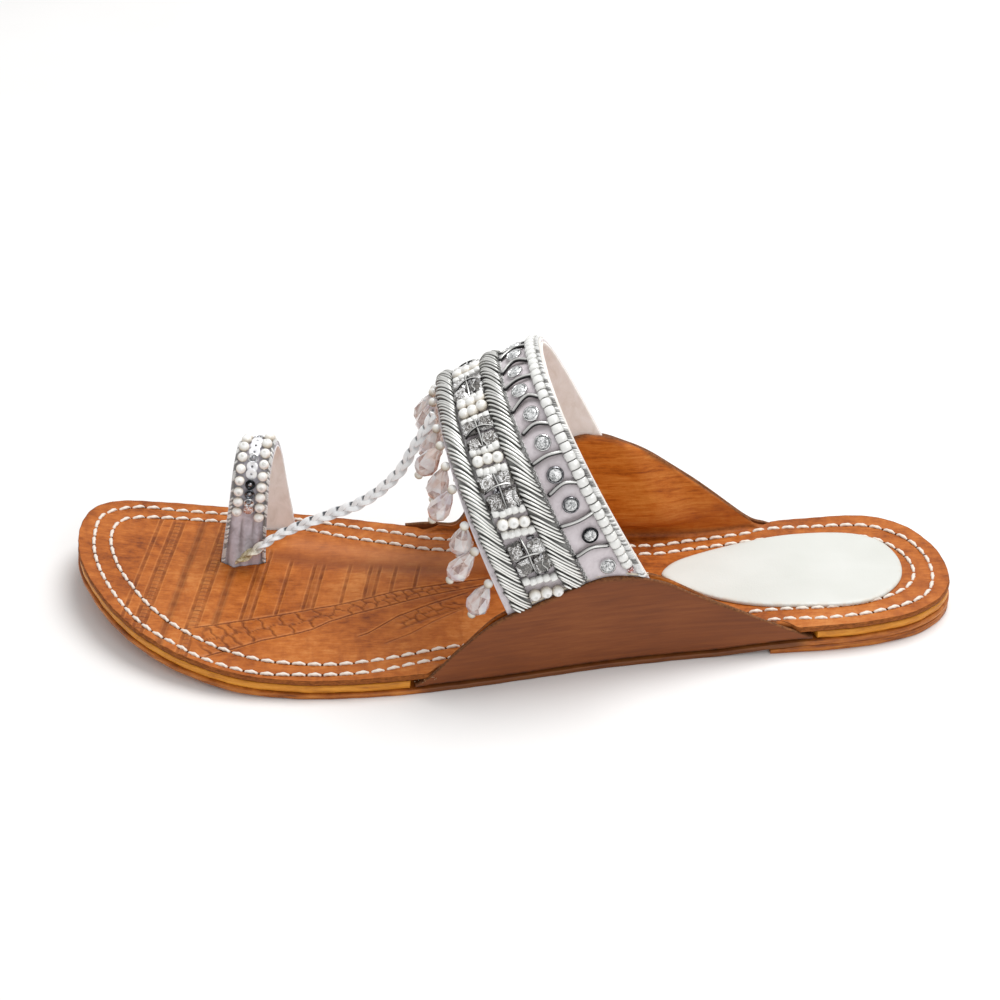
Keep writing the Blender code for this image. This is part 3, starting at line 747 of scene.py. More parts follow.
def burnished_leather():
    """The tooled top leather: glossy, mottled, dark in the tooling and at its cut edge."""
    kit = Finish("burnished_leather", coat_weight=0.05, coat_roughness=0.25, specular_ior_level=0.22)
    cloud = kit.noise((0.035, 0.05, 0.05), 3.0, 0.6)
    mottle = kit.noise(0.32, 4.0, 0.65)
    creases = kit.noise((0.16, 1.0, 0.8), 3.0, 0.6, 0.9)
    grain = kit.noise(3.2, 3.0, 0.6)
    tint = cloud * 0.5 + mottle * 0.35 + creases * 0.28 + kit.axis("Y").between(8.0, 36.0) * 0.05
    colour = kit.ramp(
        tint, (0.42, tone(112, 54, 18)), (0.53, tone(158, 84, 29)),
        (0.63, tone(180, 102, 42)), (0.78, tone(204, 132, 70)),
    )
    smears = kit.noise((0.2, 0.045, 0.1), 4.0, 0.62, 0.4)
    colour = kit.mix(smears.between(0.52, 0.72) * 0.42, colour, tone(134, 66, 26))
    scuffs = kit.noise((0.5, 2.2, 1.0), 4.0, 0.7)
    colour = kit.mix(scuffs.between(0.56, 0.74) * 0.3, colour, tone(122, 60, 26))
    standing = kit.value("standing")
    fibres = kit.noise((0.1, 0.5, 1.1), 5.0, 0.68, 0.8)
    figure = kit.noise((0.03, 0.1, 0.16), 4.0, 0.62, 0.8)
    wall = kit.ramp(
        figure * 0.5 + fibres * 0.35 + mottle * 0.15,
        (0.4, tone(146, 72, 20)), (0.5, tone(194, 106, 34)), (0.62, tone(218, 138, 62)),
    )
    wall = kit.mix(kit.axis("Z").between(11.0, 19.0, 0.35, 0.0), wall, tone(146, 66, 18))
    dark, rim = tooled_marks(kit)
    colour = kit.mix(standing, colour, wall)
    # Painted shade along the hollow, and a painted sheen beside it.
    colour = kit.mix(kit.value("dull") * 0.6, colour, tone(118, 62, 34))
    colour = kit.mix(kit.value("sheen") * 0.4, colour, tone(190, 124, 84))
    colour = kit.mix(rim * 0.34, colour, tone(214, 142, 80))
    colour = kit.mix(dark * 0.72, colour, tone(84, 40, 16))
    raw = kit.value("raw")
    fibre = kit.noise((0.8, 0.8, 2.5), 4.0, 0.7)
    cut = kit.ramp(fibre, (0.36, tone(100, 52, 18)), (0.66, tone(160, 92, 40)))
    crest = kit.ramp(fibre, (0.36, tone(96, 54, 26)), (0.66, tone(142, 90, 50)))
    colour = kit.mix(raw, colour, kit.mix(standing, cut, crest))
    rough = 0.34 + mottle * 0.2 + dark * 0.2 + raw * 0.35 - standing * 0.04
    height = grain * 0.3 + creases * 0.55 + mottle * 0.3 - dark * 0.9 + rim * 0.25
    return kit.done(colour, rough, height + fibres * standing * 0.4, 0.22, 0.6)


def ear_hide():
    """The ears' outer ply: smooth brown hide with faint streaks along the sole."""
    kit = Finish("ear_hide", specular_ior_level=0.35, coat_weight=0.06, coat_roughness=0.4)
    streaks = kit.noise((0.035, 0.4, 0.9), 4.0, 0.62, 0.3)
    cloud = kit.noise((0.03, 0.05, 0.06), 2.0)
    fine = kit.noise((0.25, 2.5, 3.5), 3.0, 0.6)
    tint = streaks * 0.6 + cloud * 0.4 + fine * 0.16
    colour = kit.ramp(
        tint, (0.4, tone(106, 54, 20)), (0.58, tone(122, 64, 25)), (0.78, tone(136, 76, 34)),
    )
    fibre = kit.noise((1.2, 1.2, 2.0), 3.0, 0.7)
    raw = kit.ramp(fibre, (0.35, tone(78, 45, 22)), (0.65, tone(134, 86, 48)))
    colour = kit.mix(kit.value("raw"), colour, raw)
    # Painted shade along the ear's foot, where it folds under at the sole.
    foot = kit.value("foot") * kit.noise((0.5, 0.5, 0.8), 4.0, 0.7).between(0.35, 0.6)
    colour = kit.mix(foot * 0.85, colour, tone(58, 32, 18))
    rough = 0.5 + fine * 0.12 + kit.value("raw") * 0.25
    return kit.done(colour, rough, streaks * 0.5 + fine * 0.5, 0.12, 0.4)


def cut_edge(name, dark, middle, light, layers, gloss):
    """The cut and dressed edge of a sole layer, with streaks that run round the sole."""
    kit = Finish(name, specular_ior_level=0.4, coat_weight=gloss, coat_roughness=0.3)
    streaks = kit.noise((0.09, 0.09, layers), 4.0, 0.62, 0.25)
    blotch = kit.noise((0.16, 0.16, 0.5), 3.0, 0.65)
    fibre = kit.noise((0.9, 0.9, 4.5), 3.0, 0.6)
    tint = streaks * 0.55 + blotch * 0.45 + fibre * 0.12
    colour = kit.ramp(tint, (0.40, dark), (0.55, middle), (0.70, light))
    # Painted shade on the edge under the ears.
    colour = kit.mix(kit.value("worn") * (0.45 + blotch * 0.5), colour, tone(74, 40, 20))
    return kit.done(colour, 0.42 + fibre * 0.25, streaks * 0.6 + fibre * 0.4, 0.25, 0.6)


def coated_leather():
    """The white heel cover: a smooth coat with a faint fine grain."""
    kit = Finish("white_coated_leather", specular_ior_level=0.4)
    pebble = kit.add(
        "ShaderNodeTexVoronoi", {"feature": "F1"},
        {"Vector": kit.scaled(kit.place, 1.6), "Scale": 1.0, "Randomness": 1.0},
    )
    grain = kit.noise(2.6, 3.0, 0.6)
    cloud = kit.noise((0.04, 0.06, 0.06), 3.0)
    colour = kit.ramp(cloud, (0.3, tone(203, 204, 198)), (0.7, tone(211, 212, 207)))
    rubbed = kit.value("rub") * kit.noise(0.5, 3.0, 0.65).between(0.4, 0.65)
    colour = kit.mix(rubbed * 0.35, colour, tone(196, 176, 150))
    return kit.done(colour, 0.36 + grain * 0.16, pebble * 0.5 + grain * 0.5, 0.07, 0.5)


def satin(name, shade, middle, light, fold):
    """Satin weave with a soft sheen, read along the piece's own run and width."""
    gloss = {"specular_ior_level": 0.5, "anisotropic": 0.4}
    kit = Finish(name, sheen_weight=0.35, sheen_roughness=0.35, **gloss)
    run, width = kit.value("along"), kit.value("across")
    threads = (run * 19.0).sine() * 0.5 + (width * 26.0).sine() * 0.5
    slub = kit.noise(0.5, 4.0, 0.6, 0.6)
    cloud = kit.noise(0.12, 3.0, 0.6)
    colour = kit.ramp(cloud * 0.6 + slub * 0.4, (0.36, shade), (0.52, middle), (0.68, light))
    # Painted shade where the cloth puckers between wires or dips into folds; fold is the colour of that
    # shade.
    colour = kit.mix(kit.value("soil") * 0.6, colour, fold)
    height = threads * 0.25 + slub * 0.7
    return kit.done(colour, 0.3 + slub * 0.25, height, 0.12, 0.5)


def lining_cloth(name, shade, middle, light):
    """The band's and ring's lining: pale pinkish beige leather, a little creased."""
    kit = Finish(name, specular_ior_level=0.3)
    creases = kit.noise((0.35, 0.12, 0.2), 4.0, 0.6, 0.8)
    grain = kit.noise(2.4, 2.0, 0.6)
    colour = kit.ramp(creases, (0.3, shade), (0.55, middle), (0.75, light))
    return kit.done(colour, 0.55 + grain * 0.1, creases * 0.7 + grain * 0.3, 0.2, 0.4)


def pearl():
    kit = Finish("pearl", coat_weight=0.7, coat_roughness=0.1, specular_ior_level=0.6)
    swirl = kit.noise(0.35, 2.0, 0.5, 0.7)
    # Painted shade towards the sides, a painted highlight near the top and a grey painted reflection at
    # the very top.
    colour = kit.ramp(
        kit.value("pole") * 0.5 + 0.4 + swirl * 0.2,
        (0.3, tone(176, 164, 144)), (0.6, tone(222, 214, 200)), (0.82, tone(240, 238, 233)),
        (0.96, tone(246, 246, 244)), (1.0, tone(206, 205, 200)),
    )
    fine = kit.noise(4.0, 2.0)
    return kit.done(colour, 0.2 + swirl * 0.12, fine, 0.03, 0.3)


def seed_glass():
    """White glass beads, each a slightly different white."""
    kit = Finish("seed_glass", coat_weight=0.7, coat_roughness=0.08, specular_ior_level=0.6)
    cloud = kit.noise(0.45, 1.0)
    # Painted shade on the sides and a painted highlight on the top.
    colour = kit.ramp(
        kit.value("pole") * 0.5 + 0.2 + cloud * 0.6,
        (0.3, tone(118, 117, 113)), (0.56, tone(188, 187, 183)), (0.88, tone(238, 238, 235)),
    )
    fine = kit.noise(3.0, 2.0)
    return kit.done(colour, 0.16 + cloud * 0.12, fine, 0.03, 0.3)


def silver_wire(name, dark, light, pitch):
    """Fine silver wire wound close round a core: rings along its run."""
    kit = Finish(name, metallic=0.85, specular_ior_level=0.6)
    rings = (kit.value("run") * (2 * math.pi / (pitch * MM))).sine() * 0.5 + 0.5
    tarnish = kit.noise(0.3, 3.0, 0.6)
    # Painted shade on the wire's sides and a painted highlight on its crest.
    crest = kit.value("crest").between(0.4, 1.0) * 0.85 + tarnish * 0.3 + rings * 0.08
    middle = between(np.array(dark), np.array(light), 0.5)
    colour = kit.ramp(crest, (0.25, dark), (0.6, middle), (0.92, light))
    return kit.done(colour, 0.28 + tarnish * 0.16, rings, 0.03, 0.4)


GLASS = {"coat_weight": 1.0, "coat_roughness": 0.03, "specular_ior_level": 0.8}


def cut_glass(name, shade, light, clear):
    """Faceted glass on a silver backing, streaked where the facets catch the light."""
    kit = Finish(name, transmission_weight=clear, **GLASS)
    swirl = kit.noise(0.55, 3.0, 0.6, 1.2)
    streaks = (swirl * 34.0).sine() * 0.5 + 0.5
    colour = kit.ramp(
        kit.value("facet") * 0.4 + streaks * 0.34 + swirl * 0.3,
        (0.25, shade), (0.55, light), (0.72, tone(252, 252, 252)),
    )
    return kit.done(colour, 0.05 + swirl * 0.1, swirl, 0.15, 0.5)


def pink_crystal():
    """Pale pink cut glass of the drops, with a pearly film."""
    kit = Finish("pink_crystal", transmission_weight=0.5, **GLASS)
    swirl = kit.noise(0.25, 3.0, 0.55, 0.8)
    streaks = (kit.value("girth") * 7.0 + swirl * 16.0).sine() * 0.5 + 0.5
    film = kit.noise(0.16, 2.0, 0.5, 0.8)
    # Each facet is painted its own highlight or shade.
    colour = kit.ramp(
        streaks * 0.3 + kit.value("facet") * 0.7,
        (0.1, tone(168, 138, 128)), (0.3, tone(226, 204, 196)),
        (0.5, tone(248, 238, 235)), (0.72, tone(255, 255, 255)),
    )
    colour = kit.mix(film.between(0.5, 0.7) * 0.5, colour, tone(224, 214, 232))
    colour = kit.mix(film.between(0.5, 0.34) * 0.5, colour, tone(244, 212, 194))
    return kit.done(colour, 0.03 + streaks * 0.06, streaks, 0.06, 0.4)


def polished_metal(name, dark, light):
    kit = Finish(name, metallic=1.0)
    wear = kit.noise(1.2, 3.0, 0.6)
    colour = kit.ramp(wear, (0.3, dark), (0.7, light))
    return kit.done(colour, 0.14 + wear * 0.18, wear, 0.04, 0.3)


def sequin_film():
    kit = Finish("sequin_film", coat_weight=1.0, coat_roughness=0.04, specular_ior_level=0.8)
    film = kit.noise(0.5, 2.0)
    colour = kit.ramp(film, (0.3, tone(232, 232, 238)), (0.7, tone(252, 252, 252)))
    return kit.done(colour, 0.1 + film * 0.1, film, 0.05, 0.3)


def foil_leather():
    """The plait's flat strands: white with a silver film, yellow and raw at the cut end."""
    kit = Finish("foil_leather", coat_weight=0.5, coat_roughness=0.12, specular_ior_level=0.7)
    creases = kit.noise(0.9, 4.0, 0.6, 0.5)
    cloud = kit.noise(0.15, 2.0)
    tint = cloud * 0.5 + creases * 0.5
    colour = kit.ramp(tint, (0.36, tone(226, 228, 230)), (0.6, tone(250, 250, 250)))
    # Painted shade in the gaps where a strand goes under the next, and on the strands' edges.
    colour = kit.mix(kit.value("side"), colour, tone(58, 62, 68))
    raw = kit.ramp(creases, (0.35, tone(158, 136, 74)), (0.6, tone(226, 216, 184)))
    colour = kit.mix(kit.value("raw"), colour, raw)
    return kit.done(colour, 0.22 + creases * 0.18 + kit.value("raw") * 0.3, creases, 0.14, 0.5)


def thread(name, dark, light):
    """Waxed thread with the twist of its plies."""
    kit = Finish(name, sheen_weight=0.3, specular_ior_level=0.5, coat_weight=0.2, coat_roughness=0.3)
    fibres = kit.noise((3.0, 3.0, 6.0), 3.0, 0.65)
    cloud = kit.noise(0.2, 2.0)
    lit = fibres * 0.4 + cloud * 0.35 + kit.value("pole") * 0.22 + 0.12
    colour = kit.ramp(lit, (0.3, dark), (0.6, light))
    return kit.done(colour, 0.32 + fibres * 0.2, fibres, 0.12, 0.6)


def dark_hole():
    # Painted shade for the needle holes.
    kit = Finish("needle_hole", specular_ior_level=0.1)
    fibres = kit.noise(4.0, 2.0)
    colour = kit.ramp(fibres, (0.3, tone(58, 30, 14)), (0.7, tone(96, 54, 28)))
    return kit.done(colour, 0.85 + fibres * 0.1, fibres, 0.1, 0.4)


def pale_floor():
    kit = Finish("pale_floor", specular_ior_level=0.2)
    fleck = kit.noise(0.02, 2.0)
    colour = kit.ramp(fleck, (0.3, tone(235, 234, 233)), (0.7, tone(238, 237, 236)))
    return kit.done(colour, 0.6 + fleck * 0.1, fleck, 0.02, 0.1)


TOP_LEATHER = burnished_leather()
EAR_HIDE = ear_hide()
SOLE_EDGE_LEATHER = cut_edge(
    "sole_edge", tone(108, 56, 18), tone(166, 92, 30), tone(200, 124, 52), 1.6, 0.08
)
BOARD_EDGE = cut_edge(
    "ochre_edge", tone(156, 88, 18), tone(206, 130, 32), tone(224, 152, 52), 2.0, 0.15
)
WHITE_LEATHER = coated_leather()
BAND_SATIN = satin(
    "lilac_satin", tone(196, 188, 191), tone(217, 208, 212), tone(229, 222, 226), tone(140, 124, 120)
)
RING_SATIN = satin(
    "wrinkled_satin", tone(152, 146, 154), tone(194, 190, 200), tone(218, 215, 225), tone(92, 78, 74)
)
LINING = lining_cloth("lining", tone(234, 227, 219), tone(244, 239, 234), tone(249, 246, 243))
RING_LINING = lining_cloth(
    "ring_lining_leather", tone(236, 236, 232), tone(248, 249, 247), tone(252, 252, 251)
)
PEARL = pearl()
SEED = seed_glass()
PURL = silver_wire("purl_wire", tone(126, 126, 123), tone(246, 246, 242), 0.3)
GREY_PURL = silver_wire("grey_purl", tone(48, 47, 48), tone(226, 226, 223), 0.3)
GREY_GLASS = cut_glass("grey_glass", tone(36, 33, 31), tone(122, 117, 111), 0.1)
CLEAR_GLASS = cut_glass("clear_glass", tone(110, 112, 113), tone(212, 214, 214), 0.1)
RED_GLASS = cut_glass("red_glass", tone(120, 40, 26), tone(186, 84, 60), 0.1)
ROSY_GLASS = cut_glass("rosy_glass", tone(176, 116, 100), tone(214, 160, 140), 0.2)
CRYSTAL = pink_crystal()
CUP_SILVER = polished_metal("cup_silver", tone(212, 212, 213), tone(250, 250, 250))
CUP_GREY = polished_metal("cup_grey", tone(84, 84, 88), tone(190, 190, 194))
CUP_SMOKE = polished_metal("cup_smoke", tone(58, 60, 66), tone(128, 130, 136))
CUP_BLACK = polished_metal("cup_black", tone(22, 22, 24), tone(70, 72, 76))
SEQUIN = sequin_film()
FOIL = foil_leather()
WHITE_THREAD = thread("white_thread", tone(206, 198, 190), tone(244, 240, 234))
STITCH_THREAD = thread("stitch_thread", tone(122, 96, 76), tone(230, 218, 205))
SILVER_THREAD = thread("silver_thread", tone(150, 150, 150), tone(246, 246, 244))
TARNISHED_THREAD = thread("tarnished_thread", tone(96, 96, 95), tone(158, 157, 154))
# Padding coloured dark as painted shade in the gaps between wires.
SHADOW_PADDING = thread("padding", tone(96, 96, 94), tone(152, 152, 149))
CREAM_EDGE = thread("cream_edge", tone(190, 176, 148), tone(238, 230, 212))
FIBRE = thread("loose_fibre", tone(120, 84, 50), tone(206, 180, 140))
HOLE = dark_hole()
FLOOR = pale_floor()


# ---------------------------------------------------------------- sole

EDGE_PROFILE = ((0.38, 0.0), (0.1, 0.08), (0.0, 0.3), (0.0, 0.7), (0.1, 0.92), (0.38, 1.0))


HEEL_ROUND, TOE_ROUND = -97.0, 93.0  # where the sole's rounded ends begin
NOTCH_STEPS = (-2.4, -2.0, -1.75, -1.5, -1.25, -1.0, -0.6)
EDGE_WANDER = 0.3


def rungs_along(heel_count, toe_count, *middles):
    """x of the rungs of a layer, close together at both rounded ends."""
    heel = np.cos(np.pi / 2 * np.arange(heel_count) / heel_count)
    heel = HEEL_X + (HEEL_ROUND - HEEL_X) * (1 - heel)
    toe = np.sin(np.pi / 2 * np.arange(1, toe_count + 1) / toe_count)
    toe = TOE_ROUND + (TOE_X - TOE_ROUND) * toe
    return np.unique(np.round(np.concatenate([heel, *middles, toe]), 4))


def at(size, x):
    """A size that may depend on x."""
    return size(x) if callable(size) else size + 0 * x


def layer(name, inset, under, thick, finish, waves, front=None):
    """A flat layer of the sole with a rounded, hand cut edge. It may end short of the toe, at front."""
    middle = np.linspace(HEEL_ROUND, TOE_ROUND, 111)
    notches = [EAR_REAR + step for step in NOTCH_STEPS] + [EAR_FRONT - step for step in NOTCH_STEPS]
    side, x, edge, outward = sole_round(rungs_along(30, 36, middle, notches))
    inward = at(inset, x) + wander(run_of(edge), EDGE_WANDER, *waves)
    if front is not None:
        kept = x < front
        x, edge, outward, inward = x[kept], edge[kept], outward[kept], inward[kept]
    thickness = at(thick, x)
    rows = []
    for back, rise in EDGE_PROFILE:
        flat = edge - outward * (inward + back * thickness * 0.5)[:, None]
        rows.append(np.column_stack([flat, at(under, x) + rise * thickness]))
    grid = np.stack(rows, axis=1)
    cut = Cut()
    cut.sheet(grid, round_rows=True)
    count = len(x)
    half = count // 2
    faces = [(0, 1, count - 1)]
    faces += [(i, i + 1, count - i - 1, count - i) for i in range(1, half - (front is None))]
    if front is None:
        faces.append((half - 1, half, half + 1))
    faces = [tuple(dict.fromkeys(face)) for face in faces]
    for column in (0, -1):
        cut.add(grid[:, column], [face for face in faces if len(face) > 2])
    return cut.piece(name, finish, sharp=60)


def midsole_inset(x):
    """The midsole is cut back where the ears' feet lie."""
    notch = FACE_INSET + ply_foot(x) + EAR_ROOM
    return between(MIDSOLE_INSET, notch, smooth(ear_reach(x), *NOTCH_RAMP))


def sole_layers():
    bottom = layer(
        "outsole_leather", 0.0, sole_under, OUTSOLE, SOLE_EDGE_LEATHER,
        ((61.0, 0.3), (23.0, 1.1), (9.0, 2.0)),
    )
    x = places_of(bottom.data)[0][:, 0]
    # Painted shade on the outsole's edge where the ears stand over it.
    mark(bottom.data, "worn", smooth(ear_reach(x), -1.0, 5.0))
    settle(bottom, "edge_leather", "outsole")
    lift = layer(
        "heel_lift_leather", LIFT_INSET, 0.0, lambda x: sole_under(x) - GAP, SOLE_EDGE_LEATHER,
        ((47.0, 2.0), (15.0, 0.4)), LIFT_FRONT,
    )
    settle(lift, "edge_leather", "heel_lift")
    board = layer(
        "midsole_leather", midsole_inset, midsole_under, MIDSOLE, BOARD_EDGE,
        ((53.0, 1.7), (17.0, 0.2), (7.0, 1.0)),
    )
    settle(board, "ochre_leather", "midsole")


# ---------------------------------------------------------------- tooling of the top leather

SCALE_ROWS = ((0.27, 0.0), (0.73, 0.5))
STITCH_PITCH = 4.35
OUTER_ROW = (
    (83.1, -38.9), (97.4, -39.1), (106.0, -39.1), (111.4, -37.5), (116.7, -33.9), (119.2, -29.3),
    (120.0, -21.4), (119.7, -14.3), (118.1, -6.4), (115.6, 0.7), (112.1, 8.2), (107.1, 16.4),
    (101.7, 22.5), (95.3, 27.5), (88.9, 32.5), (80.3, 36.8), (71.7, 39.3), (61.7, 40.0),
    (51.0, 40.5), (40.3, 39.8), (31.7, 37.5), (23.1, 35.4), (10.0, 33.6), (-10.0, 30.6),
    (-30.0, 28.2), (-50.0, 26.7), (-70.7, 25.8), (-77.1, 26.4), (-84.3, 27.0), (-91.4, 26.4),
    (-98.6, 25.2), (-107.1, 22.6), (-112.1, 20.2),
    (-116.1, 16.8), (-118.2, 12.9), (-119.6, 7.1), (-119.6, 0.0), (-118.2, -5.7), (-115.7, -10.7),
    (-112.1, -14.3), (-108.6, -16.8), (-104.3, -18.4), (-97.1, -18.9), (-89.3, -18.6), (-80.0, -18.8),
    (-71.4, -18.6), (-60.0, -17.6), (-48.6, -17.0), (-36.4, -16.8), (-20.0, -17.6), (0.0, -20.0),
    (21.7, -23.6), (29.6, -26.4), (37.4, -28.9), (45.3, -31.4), (51.7, -33.6), (66.0, -37.4),
)
INNER_ROW = (
    (83.0, -35.0), (95.3, -35.0), (102.4, -34.3), (108.1, -33.2), (112.8, -30.4), (114.9, -25.7),
    (115.3, -19.3), (114.2, -12.9), (111.7, -5.0), (108.1, 2.1), (103.9, 9.3), (98.1, 16.4),
    (93.1, 21.1), (86.0, 26.4), (79.6, 30.0), (71.7, 33.2), (61.7, 35.0), (51.0, 35.9),
    (40.3, 34.8), (31.7, 32.9), (22.4, 30.6), (10.0, 28.7), (-10.0, 25.7), (-30.0, 23.3),
    (-50.0, 21.9), (-65.7, 20.9), (-74.3, 21.4), (-82.9, 22.0), (-91.4, 21.4), (-97.0, 20.4),
    (-103.6, 18.3), (-108.6, 15.6), (-112.1, 12.2),
    (-114.3, 7.1), (-114.3, 1.4), (-112.5, -4.3), (-109.3, -8.6), (-105.0, -11.8), (-98.6, -13.4),
    (-91.4, -13.9), (-80.7, -13.6), (-70.0, -13.6), (-57.1, -13.2), (-48.6, -12.6), (-38.9, -12.1),
    (-20.0, -12.7), (0.0, -14.7), (23.1, -18.2), (32.4, -21.4), (40.3, -23.9), (48.9, -26.8),
    (57.4, -30.4), (69.0, -33.8),
)
# A shallow hollow that runs back from the toe ring, painted darker as shade, and a painted sheen beside
# it.
SHADED_HOLLOW_LINE = ((67.0, -17.5), (55.0, -14.0), (40.0, -11.5), (22.0, -8.6), (8.0, -6.8))
SHEEN_LINE = ((62.0, -23.5), (48.0, -19.5), (36.0, -16.5), (22.0, -13.0), (8.0, -11.0))


def pressed(distance, width):
    return np.exp(-((distance / width) ** 2))


LINE_LEAN = 0.93  # distance from a curved line for each millimetre along Y


def curved_offset(line, x, y):
    """Signed distance from a curved line, which runs on straight past its ends."""
    line = np.array(line)[::-1]
    middle = line_y(line, x)
    for end, step in ((0, 1), (-1, -2)):
        slope = (line[step, 1] - line[end, 1]) / (line[step, 0] - line[end, 0])
        past = x < line[0, 0] if end == 0 else x > line[-1, 0]
        middle = np.where(past, line[end, 1] + slope * (x - line[end, 0]), middle)
    return (y - middle) * LINE_LEAN


def scale_centres():
    """Middles of the rounded scales between the tooled lines."""
    dice = np.random.default_rng(11)
    centres = []
    for share, start in SCALE_ROWS:
        x = 12.0
        while x < 90.0:
            size = 2.6 + 2.6 * float(smooth(x, 34.0, 52.0) * smooth(-x, -80.0, -70.0)) + 0.6 * start
            low, high = line_y(UPPER_LINE, x), line_y(LOWER_LINE, x)
            along = x + dice.uniform(-0.4, 0.4)
            centres.append((along, low + (high - low) * (share + dice.uniform(-0.06, 0.06))))
            x += size
    for x in np.arange(16.0, 44.0, 3.3):
        for row in range(2):
            along = x + 1.6 * row + dice.uniform(-0.5, 0.5)
            y = line_y(THIRD_LINE, x) + 2.4 + 3.1 * row + dice.uniform(-0.4, 0.4)
            centres.append((along, y))
    return np.array(centres)


SCALES = scale_centres()


def straight_lines(x, y):
    """Grooves and bead chains of the straight lines, and where on the leather they show."""
    line_end = np.where(x < 91.0, line_y(UPPER_LINE, x), 60.0)
    start = np.interp(x, (8.0, 22.0, 60.0, 68.0, 76.0), (-8.0, -10.0, -13.5, -18.0, -35.0))
    place = x - TOOL_SLANT * (y - TOOL_FROM)
    kept = smooth(y - start, -1.5, 2.5) * smooth(line_end - y, -0.3, 0.5) * smooth(x, 21.0, 26.0)
    uneven = 0.75 + 0.25 * np.sin(y * 0.9 + x * 0.3) * np.sin(y * 0.37 + 1.0)
    groove, ridge = np.zeros_like(x), np.zeros_like(x)
    for number, line in enumerate(DOUBLE_LINES):
        for edge in (-DOUBLE_GAP, DOUBLE_GAP):
            groove = np.maximum(groove, pressed(place - line - edge, 0.5) * kept * uneven)
        pitch, high = (2.3, 1.0) if number < 2 else (3.4, 0.5)
        beads = np.abs(np.sin(y * math.pi / pitch + number))
        ridge = np.maximum(ridge, pressed(place - line, 0.6) * kept * beads**2 * high)
    for number, line in enumerate(SINGLE_LINES):
        wide = 0.75 if line in WIDE_LINES else 0.5
        deep = 0.4 if number == 0 else 1.0
        groove = np.maximum(groove, pressed(place - line, wide) * kept * uneven * deep)
    return groove, ridge, kept * uneven


def scales_between(x, y, ridge):
    """The rounded scales between the curved lines, which also raise ridges."""
    third = line_y(THIRD_LINE, x)
    ends = smooth(x, 12.0, 16.0) * smooth(-x, -36.0, -31.0)
    field = smooth(y - line_y(UPPER_LINE, x), -0.2, 0.4) * smooth(line_y(LOWER_LINE, x) - y, -0.2, 0.4)
    field = field * smooth(x, 10.0, 14.0) * smooth(-x, -91.0, -86.0)
    under = smooth(y - third, 0.0, 0.6) * smooth(third + 6.4 - y, 0.0, 0.5) * ends
    within = np.maximum(field, under)
    inside = np.flatnonzero(within > 0.02)
    bend_x = x[inside] + 0.35 * np.sin(y[inside] * 1.7)
    bend_y = y[inside] + 0.3 * np.sin(x[inside] * 1.4)
    first, second = np.full(len(inside), 1e9), np.full(len(inside), 1e9)
    for cx, cy in SCALES:
        away = np.hypot((bend_x - cx) * 0.85, bend_y - cy)
        second = np.minimum(second, np.maximum(first, away))
        first = np.minimum(first, away)
    gap = second - first
    scales = np.zeros_like(x)
    scales[inside] = within[inside] * (1 - smooth(gap, 0.1, 0.7))
    ridge[inside] = np.maximum(ridge[inside], within[inside] * pressed(gap - 1.1, 0.5) * 0.5)
    return np.maximum(scales, pressed(y - third - 6.2, 0.4) * ends)


def tooling(x, y):
    """Depth pressed into the top leather, and the marks that its finish reads."""
    groove, ridge, tooled = straight_lines(x, y)
    for number, line in enumerate(CURVED_LINES):
        deep = 0.9 if number < 3 else 0.5
        groove = np.maximum(groove, pressed(to_line(x, y, line), 0.5) * deep)
    scales = scales_between(x, y, ridge)
    rows = [to_line(x, y, closed_up(curve(row, True, 4))) for row in (INNER_ROW, OUTER_ROW)]
    seam = pressed(np.minimum(*rows), 0.9)
    # The hollow is pressed in, and its finish also paints it darker as shade; the sheen beside it is a
    # painted highlight.
    dull = pressed(to_line(x, y, SHADED_HOLLOW_LINE), 3.4)
    sheen = pressed(to_line(x, y, SHEEN_LINE), 3.6)
    slow = np.sin(x * 0.11 + 1.0) * np.sin(y * 0.16 + x * 0.03) * 0.12
    depth = 0.26 * groove + 0.2 * scales - 0.1 * ridge + 0.14 * seam + 0.45 * dull + slow
    return depth, {"tooled": tooled, "scales": scales, "rim": ridge, "dull": dull, "sheen": sheen}


# ---------------------------------------------------------------- top leather

EDGE_ROUND = 0.32
FOLD_ROWS, WALL_ROWS = 8, 15
BED_COLUMNS = 112
UNDER_COLUMNS = 4


